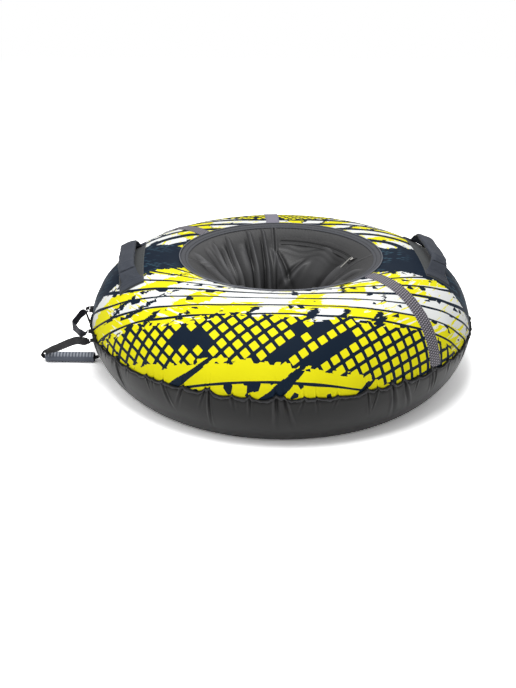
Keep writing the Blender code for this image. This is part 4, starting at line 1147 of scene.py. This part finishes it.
def makeSeatBase(finish):
    # A round cloth, drawn in towards its seam
    around = np.linspace(0.0, fullTurn, 181)[:-1]
    rows, uvs = [], []
    for share in (1.0, 0.985, 0.96, 0.92, 0.86, 0.78, 0.68, 0.56, 0.42, 0.28, 0.14, 0.02):
        radius = seat["baseRadius"] * share
        sag = -0.0006 * smoothStep((1 - share) * 6)
        if share < 1:
            sag = sag + 0.0006 * np.sin(30 * around) * smoothStep((share - 0.75) * 5)
        rows.append(spun(radius, seat["baseHeight"] + sag, around))
        uvs.append(together(radius * np.cos(around), radius * np.sin(around)))
    mesh = gridMesh("seatBase", rows, uvs, around=True)
    addPiece("seat_base_cloth", closed(mesh), finish, "cover", ["seat_base"])


# Rim: a facing band with two seams, and a piping round it

rim = {"outer": 0.27528, "inner": 0.25488, "lift": 0.0018, "edgeLift": 0.0002, "groove": 0.0003,
       "stitchAt": 0.62, "stitchLift": 0.0023, "uvRadius": 0.28, "uvWidth": 0.022,
       "piping": 0.0019, "pipingGap": 0.0008, "pipingLift": 0.0004,
       "padding": (0.0008, 0.0004), "pucker": 0.0003}


def makeRim(bandFinish, pipingFinish, threadFinish):
    outer, inner = [math.acos((rim[key] - ring["centre"]) / ring["halfWidth"])
                    for key in ("outer", "inner")]
    seam = rim["stitchAt"]
    shares = [0.0, *np.linspace(0.0, 1.0, 23), 1.0]
    rows, uvs = [], []
    for k, share in enumerate(shares):
        # Padded on both sides of the inner seam, and puckered along it
        below, above = rim["padding"]
        lift = (rim["lift"] + below * math.sin(math.pi * min(share / seam, 1.0)) ** 0.7
                + above * math.sin(math.pi * max((share - seam) / (1 - seam), 0.0)))
        if k in (0, len(shares) - 1):
            lift = rim["edgeLift"]
        if abs(share - seam) < 0.03:
            lift -= rim["groove"]
        pucker = rim["pucker"] * np.sin(150 * azimuths + 3 * np.sin(9 * azimuths))
        rows.append(coverRow(azimuths, outer + (inner - outer) * share,
                             lift + pucker * hump(share, seam, 0.2)))
        uvs.append(together(azimuths * rim["uvRadius"], share * rim["uvWidth"]))
    addPiece("rim_band", gridMesh("rimBand", rows, uvs, around=True), bandFinish, "cover",
             ["rim_facing"])
    lines = [coverRow(azimuths[::4], outer + (inner - outer) * share, rim["stitchLift"])
             for share in (0.10, seam)]
    stitched("rim_stitches", lines, threadFinish, loop=True)

    angle = outer - (rim["piping"] + rim["pipingGap"]) / ring["halfWidth"]
    radius, height = ringPoint(angle, rim["pipingLift"] + rim["piping"])
    thick = rim["piping"] * (1 + 0.05 * np.sin(211 * azimuths))
    rows = [spun(radius + thick * math.cos(turn), height + thick * math.sin(turn), azimuths)
            for turn in np.linspace(0.0, fullTurn, 13)[:-1]]
    mesh = gridMesh("rimPiping", [*rows, rows[0]], around=True, weld=True, flip=True)
    addPiece("rim_round_piping", mesh, pipingFinish, "cover", ["rim_piping"])


# Zip in the seat's wall

zipper = {"angle": math.radians(126.5), "start": math.radians(10), "end": math.radians(90),
          "tape": 0.0125, "chain": 0.0044, "gap": 0.0003, "columns": 200, "stand": 0.00125,
          "uvRadius": 0.2, "edgeDrop": 0.0004, "tapeLift": 0.0007, "ripple": 0.00035,
          "toothLift": 0.0009, "stitchLift": 0.0011, "stitchesAt": (0.35, 0.88)}


def makeZip(clothFinish, coilFinish, threadFinish):
    azimuth = np.linspace(zipper["start"], zipper["end"], zipper["columns"])

    def beside(distance, lift, ends=0):
        # A row of places down the seat's wall from the zip's line, and off the wall
        part = slice(ends, len(azimuth) - ends)
        return coverRow(azimuth[part], zipper["angle"] + distance / ring["halfWidth"],
                        zipper["stand"] + lift)

    near = zipper["chain"] / 2 + zipper["gap"]
    wide = zipper["chain"] / 2 + zipper["tape"] - near
    lines = []
    for node, sign in (("zip_tape_upper", -1.0), ("zip_tape_lower", 1.0)):
        rows, uvs = [], []
        shares = (0.0, 0.0, 0.2, 0.4, 0.6, 0.8, 1.0, 1.0)
        for k, share in enumerate(shares):
            ripple = zipper["ripple"] * share * np.sin(azimuth * 95 + 2 * share
                                                       + 1.5 * np.sin(azimuth * 23))
            distance = sign * (near + wide * share)
            edge = k in (0, len(shares) - 1)
            lift = -zipper["edgeDrop"] if edge else zipper["tapeLift"] + ripple
            rows.append(beside(distance, lift))
            uvs.append(together(azimuth * zipper["uvRadius"], distance))
        mesh = gridMesh(node + "Cloth", rows, uvs, flip=sign > 0)
        addPiece(node + "_cloth", mesh, clothFinish, "cover", [node])
        lines += [beside(sign * (near + wide * share), zipper["stitchLift"], 3)
                  for share in zipper["stitchesAt"]]
    teeth = grown("zipTeeth", lineMesh("zipTeeth", beside(0.0, zipper["toothLift"])), toothTree(),
                  {**zipTooth, "Finish": coilFinish})
    addPiece("zip_teeth", teeth, coilFinish, "cover", ["zip_chain"])
    stitched("zip_stitches", lines, threadFinish, zipThread)


# Printed cloth: broken rings of yellow and white over dark blue, a lattice of rounded squares
# below them, ragged patches beside the seam, and dark sides with a faint lattice

printed = {"yellow": "#F6EE12", "white": "#F1F3F2", "navy": "#0A1C2E", "slate": "#2E4858",
           "ringFlat": 0.52, "ringShift": 0.010, "ringPitch": 0.0330, "ringLine": 0.0066,
           "block": 0.078, "slant": 0.75, "whiteShare": 0.66, "ringEdge": 0.146,
           "lattice": 0.0280, "latticeTurn": math.radians(38), "squareHalf": 0.262,
           "squareRound": 0.080, "darkRuns": 0.655, "smallLattice": 0.0165,
           "farStart": 0.20, "farEdge": 0.046, "faintLattice": 0.0170, "patchEdge": 0.268,
           "seamLine": 0.309, "seamLineHalf": 0.0032, "sideMiddle": -0.038, "sideHalf": 0.078}


def squares(graph, u, v, pitch):
    # Rounded squares on a turned grid, a random number for each of them, and the grid's places
    turned = printed["latticeTurn"]
    x = (u * math.cos(turned) + v * math.sin(turned)) / pitch
    y = (v * math.cos(turned) - u * math.sin(turned)) / pitch
    dx = ((x.fract() - 0.5).abs() - printed["squareHalf"]) | 0.0
    dy = ((y.fract() - 0.5).abs() - printed["squareHalf"]) | 0.0
    inside = (dx * dx + dy * dy).root() < printed["squareRound"]
    return inside, graph.hash(x.floor(), y.floor(), 2.0), x, y


def printMaterial():
    graph = Finish("printedCloth", specular=0.14)
    yellow, white, navy, slate = [printed[name] for name in ("yellow", "white", "navy", "slate")]
    place = graph.clothMap()
    u, v = graph.split(place)[:2]
    flat = (u * u + v * v).root()
    turn = v.math("ARCTAN2", u)
    around = turn * 0.42
    below = flat - ring["rimRadius"]
    # The rings are wider than deep, so they run out over the seam at the sides
    wideU = u * printed["ringFlat"] - printed["ringShift"]
    stretched = (wideU * wideU + v * v).root()
    bands = stretched - ring["rimRadius"]

    # Shards and brush streaks break the edges of every shape
    shard = graph.node("ShaderNodeTexVoronoi", {"Vector": place, "Scale": 62.0},
                       voronoi_dimensions="2D")
    shoveX, shoveY, shoveZ = graph.split(shard.output("Color"))
    jag = shoveX - 0.5
    streak = graph.noise(graph.join(around * 0.30, flat * 2.4), 40.0, 3.0, 0.62)
    brush = streak - 0.5
    wide = graph.noise(place, 5.0, 1.0, 0.4)
    drift = wide - 0.5
    slow = graph.noise(graph.join(around, flat * 0.4), 7.0, 1.0, 0.4) - 0.5

    # Rings: thin dark lines that drift and swell, over blocks of two colours with torn sides
    pitch = printed["ringPitch"]
    drifting = bands + slow * 0.012
    number, inRing = (drifting / pitch).floor(), (drifting / pitch).fract()
    ringRandom = graph.hash(number, 3.7, 1.0)
    swell = graph.noise(graph.join(around, number * 3.1), 9.0, 2.0, 0.5)
    lineShare = 0.7 + ringRandom * 0.6 + (v > 0.0) * 1.1
    isLine = inRing * pitch < lineShare * printed["ringLine"] + (swell - 0.45) * 0.0065
    tier = (drifting / (pitch * 2.0) + 0.35).floor()
    slanted = around + drifting * printed["slant"] + jag * 0.010 + brush * 0.055
    block = slanted / printed["block"] + graph.hash(tier, 2.0, 6.0) * 7.0
    # The lower rings hold more yellow, and brushed streaks of the other colour cross the blocks
    fewer = bands.over(0.100, 0.02) + (0.0 - bands).over(0.010, 0.02) * 0.5
    whiteBlock = graph.hash(block.floor(), tier, 0.5) < printed["whiteShare"] - fewer * 0.60
    isWhite = (whiteBlock + (streak + drift * 0.20 > 0.60)).math("MODULO", 2.0)
    # Small torn nicks hang from the lines, and a few blocks have a torn dark side
    nick = (shoveY > 0.86) * (inRing < 0.55) * (wide > 0.44)
    torn = block.fract() < (graph.hash(block.floor(), tier, 7.5) - 0.42) * 0.55
    torn = torn * (jag + brush * 2.0 < 0.25)
    isRing = (1.0 - isLine) * (1.0 - nick) * (1.0 - torn)

    # Lattice: even squares, few of them missing, some in short dark runs
    square, each, x, y = squares(graph, u, 0.0 - stretched, printed["lattice"])
    column, row = x.floor(), y.floor()
    run = graph.hash((x / 5.0).floor(), row, 9.0)
    bridged = (y.fract() - 0.5).abs() < 0.30
    bridged = bridged * (graph.hash((x + 0.5).floor(), row, 5.0) < 0.012)
    dark = graph.noise(graph.join(column * 0.8 + row * 0.8, row * 0.35), 0.42, 1.0, 0.5)
    dark = dark > printed["darkRuns"]
    lattice = (square | bridged) * (each > 0.035) * (run > 0.05) * (1.0 - dark)

    # Patches, with straight slanted cuts through them and shards torn out beside the cuts
    swings = graph.noise(graph.join(turn * 3.1, 4.0), 1.0, 1.0, 0.4) - 0.5
    patchEdge = (printed["patchEdge"] + u * 0.080 + swings * 0.050 + (shoveZ - 0.5) * 0.016
                 + brush * 0.010)
    inPatch = bands > patchEdge
    cutAlong = turn * 2.3 + below * 5.2 + jag * 0.020
    cutRandom = graph.hash(cutAlong.floor(), 5.0, 1.0)
    inCut = cutAlong.fract()
    cut = inCut < 0.030 + (cutRandom * 0.20 + 0.04) * (below - 0.235) * 9.0
    beside = (inCut < 0.30) * (shoveY > 0.90) * (cutRandom > 0.3)
    offLine = (bands - printed["seamLine"] + slow * 0.005).abs()
    seamLine = offLine < printed["seamLineHalf"] + (swell - 0.5) * 0.005
    chips = (bands > printed["seamLine"]) * (shoveZ > 0.88)
    patch = inPatch * (1.0 - cut) * (1.0 - beside) * (1.0 - seamLine) * (1.0 - chips)

    # The far side has a small lattice between its bands
    small, farEach = squares(graph, u, v, printed["smallLattice"])[:2]
    farZone = ((v > printed["farStart"])
               * (bands + drift * 0.05 + jag * 0.012 > printed["farEdge"]))

    # Dark sides beside the handles, with a faint small lattice
    outward = below.over(0.02, 0.16)
    edge = v + jag * 0.012 + drift * 0.05 + brush * 0.03
    side = (edge - printed["sideMiddle"] + outward * 0.010).abs()
    side = side < printed["sideHalf"] + outward * 0.026
    dash, faintEach = squares(graph, u, v * 1.5, printed["faintLattice"])[:2]
    faint = dash * (faintEach > 0.50) * side * graph.noise(place, 6.0, 1.0, 0.4).over(0.50, 0.14)

    # All of it, from the lowest layer to the highest
    ringEdge = printed["ringEdge"] + drift * 0.050 + (shoveY - 0.5) * 0.022
    inRings = (bands < ringEdge) * (below > 0.005) * (1.0 - side)
    colour = graph.mix(faint, navy, slate)
    colour = graph.mix(lattice * (1.0 - inPatch) * (1.0 - side), colour, yellow)
    colour = graph.mix(patch * (1.0 - side), colour, yellow)
    ringColour = graph.mix(isRing, navy, graph.mix(isWhite, yellow, white))
    colour = graph.mix(inRings, colour, ringColour)
    farColour = graph.mix(small * (farEach > 0.15), navy, yellow)
    colour = graph.mix(farZone * inRings, colour, farColour)

    tone = graph.noise(place, 9.0, 3.0, 0.5)
    relief = graph.bump(graph.noise(graph.place(), 14.0, 2.0, 0.5), 0.12, 0.006)
    return graph.set(colour=colour, roughness=0.58 + tone * 0.16,
                     normal=graph.bump(graph.weave(place, 0.0011), 0.12, 0.0002, relief))


# The other finishes

def bottomMaterial():
    # Slippery dark cloth with painted shade that darkens it low down and in the valleys of its
    # folds, and a painted highlight on the ridges of its folds
    graph = Finish("bottomCloth", specular=0.16)
    spot = graph.place()
    cloudy = graph.noise(spot, 6.0, 3.0, 0.55)
    height = (graph.split(spot)[2] / 0.16).math("ADD", 0.0, clamp=True)
    fold = graph.fold()
    # The cloth's uneven tone, with painted shade low down
    colour = graph.mix(height * 0.75 + (cloudy - 0.5) * 0.3 + 0.1, "#0F0F10", "#262626")
    # Painted shade in the valleys of the folds
    colour = graph.mix((0.0 - fold).over(0.28, 0.50) * 0.80, colour, "#0E0E0F")
    # Painted highlight on the ridges of the folds
    colour = graph.mix(fold.over(0.30, 0.50) * 0.50, colour, "#555556")
    relief = graph.bump(graph.noise(spot, 22.0, 2.0, 0.5), 0.14, 0.004)
    grain = graph.bump(graph.noise(spot, 900.0, 1.0, 0.5), 0.10, 0.0002, relief)
    return graph.set(colour=colour, roughness=0.40 + cloudy * 0.14, normal=grain)


def seatMaterial():
    # Soft coated cloth, uneven in tone, with a painted highlight on the ridges of its folds and
    # painted shade in their valleys
    graph = Finish("seatCloth", specular=0.35)
    spot = graph.place()
    cloudy = graph.noise(spot, 26.0, 3.0, 0.6)
    fold = graph.fold()
    colour = graph.mix(cloudy * 0.8 + 0.1, "#363637", "#454546")
    # Painted shade in the valleys of the folds
    colour = graph.mix((0.0 - fold).over(0.02, 0.30) * 0.75, colour, "#222223")
    # Painted highlight on the ridges of the folds
    colour = graph.mix(fold.over(0.40, 0.50) * 0.55, colour, "#5F5F61")
    relief = graph.bump(cloudy, 0.10, 0.002)
    return graph.set(colour=colour, roughness=0.38 + (cloudy - 0.5) * 0.14,
                     normal=graph.bump(graph.weave(spot, 0.0011), 0.20, 0.0003, relief))


def frillMaterial():
    # The rolled edge: dark grey cloth along its ridge, with painted shade that makes it nearly
    # black where it meets the print
    graph = Finish("frillCloth", specular=0.20, roughness=0.62)
    along, across = graph.split(graph.clothMap())[:2]
    ragged = graph.noise(graph.join(along, 0.0), 90.0, 2.0, 0.6)
    # Painted shade along the side that tucks under the print
    dark = across.over(0.42 + (ragged - 0.5) * 0.9, 0.30)
    return graph.set(colour=graph.mix(dark, "#3C3C3E", "#0B0C0E"))


def gripMaterial():
    # Ribbed rubber: a painted highlight on the upper side of each rib, and painted shade that
    # makes its lower side darker
    graph = Finish("gripRubber", specular=0.40, roughness=0.46)
    spot = graph.place()
    x, y, z = graph.split(spot)
    along = (x - float(gripCentre[0])) / grip["pitch"] + grip["ribs"] / 2.0
    high = (z - float(gripCentre[2])) / grip["core"]
    # Random noise that makes the painted highlight uneven
    patchy = graph.noise(spot, 140.0, 2.0, 0.6)
    # Painted highlight on the upper side of each rib
    ribHighlight = (0.30 - (along.fract() - 0.5).abs()).over(0.05, 0.14) * high.over(0.50, 0.22)
    # Painted shade: the rubber is darker towards its lower side
    shade = graph.mix(high.over(-0.70, 1.0), "#3C414C", "#626875")
    return graph.set(colour=graph.mix(ribHighlight * (0.55 + patchy * 0.35), shade, "#C2C7D0"))


def plainCloth(name, dark, pale, roughness, pitch, scale, sheen=0.0):
    # Woven cloth of one colour, a little uneven
    graph = Finish(name, specular=0.35, sheen=sheen, sheenRoughness=0.45)
    spot = graph.place()
    cloudy = graph.noise(spot, scale, 3.0, 0.6)
    threads = graph.weave(spot, pitch)
    relief = graph.bump(cloudy, 0.10, 0.002)
    return graph.set(colour=graph.mix(cloudy * 0.7 + threads * 0.3, dark, pale),
                     roughness=roughness + (cloudy - 0.5) * 0.12,
                     normal=graph.bump(threads, 0.25, 0.0003, relief))


def plainWebbing(name, dark, pale):
    # Fine webbing with ribs across it and cords along it
    graph = Finish(name, specular=0.18)
    place = graph.clothMap()
    along, across = graph.split(place)[:2]
    ribs = (along * (math.pi / 0.0017)).sine().abs()
    cords = (across * (math.pi / 0.0028)).sine().abs()
    patchy = graph.noise(place, 70.0, 3.0, 0.6)
    threads = ribs * 0.6 + cords * 0.4
    return graph.set(colour=graph.mix(threads * 0.55 + patchy * 0.45, dark, pale),
                     roughness=0.7 + (patchy - 0.5) * 0.15,
                     normal=graph.bump(threads, 0.5, 0.0005))


def dashedTape(name, dark, pale, contrast):
    # Woven tape with short light dashes in rows, staggered from row to row
    graph = Finish(name, specular=0.35, sheen=0.15, sheenRoughness=0.4)
    place = graph.clothMap()
    along, across = graph.split(place)[:2]
    rows = across / 0.0078 + 100.0
    inRow = rows.fract()
    dash = (along / 0.0064 + rows.floor() * 0.5 + inRow * 0.20).fract()
    light = (dash.over(0.22, 0.10) * (1.0 - dash.over(0.64, 0.10))
             * inRow.over(0.16, 0.10) * (1.0 - inRow.over(0.84, 0.10)))
    fine = ((across * (math.pi / 0.0013)).sine().abs() * 0.5
            + (along * (math.pi / 0.0011)).sine().abs() * 0.5)
    patchy = graph.noise(place, 60.0, 2.0, 0.5)
    shade = light * contrast + fine * 0.12 + patchy * 0.10
    return graph.set(colour=graph.mix(shade, dark, pale),
                     roughness=0.52 + patchy * 0.14,
                     normal=graph.bump(light * 0.6 + fine * 0.4, 0.35, 0.0006))


def plainFinish(name, code, roughness):
    return Finish(name, colour=linear(code), roughness=roughness).material


seatCloth = seatMaterial()
bandCloth = plainCloth("bandCloth", "#3E4045", "#505258", 0.52, 0.0012, 40.0)
pipingCloth = plainCloth("pipingCloth", "#5C5E65", "#74767E", 0.50, 0.0010, 50.0)
handleCloth = plainCloth("handleCloth", "#343841", "#494E58", 0.66, 0.0008, 34.0)
patchCloth = plainCloth("patchCloth", "#404345", "#535656", 0.70, 0.0012, 34.0, 0.1)
zipCloth = plainCloth("zipCloth", "#303031", "#3E3E3F", 0.50, 0.0012, 40.0)
towWebbing = plainWebbing("towWebbing", "#09090B", "#1C1C20")
loopWebbing = plainWebbing("loopWebbing", "#1C1D22", "#3A3B44")
wovenTape = dashedTape("wovenTape", "#151418", "#A6A1AC", 0.88)
plainTape = dashedTape("plainTape", "#7C7988", "#9C99A8", 0.25)
zipCoil = plainFinish("zipCoil", "#3A3A3B", 0.5)
darkThread = plainFinish("darkThread", "#2A2A2C", 0.6)
paleThread = plainFinish("paleThread", "#77757F", 0.6)
tubeRubber = plainFinish("tubeRubber", "#202021", 0.5)
print("finishes ready")


# The pieces. The cord comes first, with the grip it runs through.

towGrip = makeTowGrip(gripMaterial())
makeTowStrap(towWebbing)
makeTowLoop(loopWebbing)
makeTabs(towWebbing, darkThread)
print("tow pieces made")
makeTopCover(printMaterial())
makeBottomCover(bottomMaterial())
makeSeamFrill(frillMaterial())
makeInnerTube(tubeRubber)
print("covers and seam made")
makeSeat(seatCloth, darkThread)
makeSeatBase(seatCloth)
makeRim(bandCloth, pipingCloth, darkThread)
makeZip(zipCloth, zipCoil, darkThread)
print("seat, rim and zip made")
makeTapes({"tape_front_right": wovenTape, "tape_back": plainTape, "tape_back_left": wovenTape},
          paleThread)
for side in ("left", "right"):
    makeHandle(side, handleCloth, patchCloth, darkThread)
print("tapes and handles made")
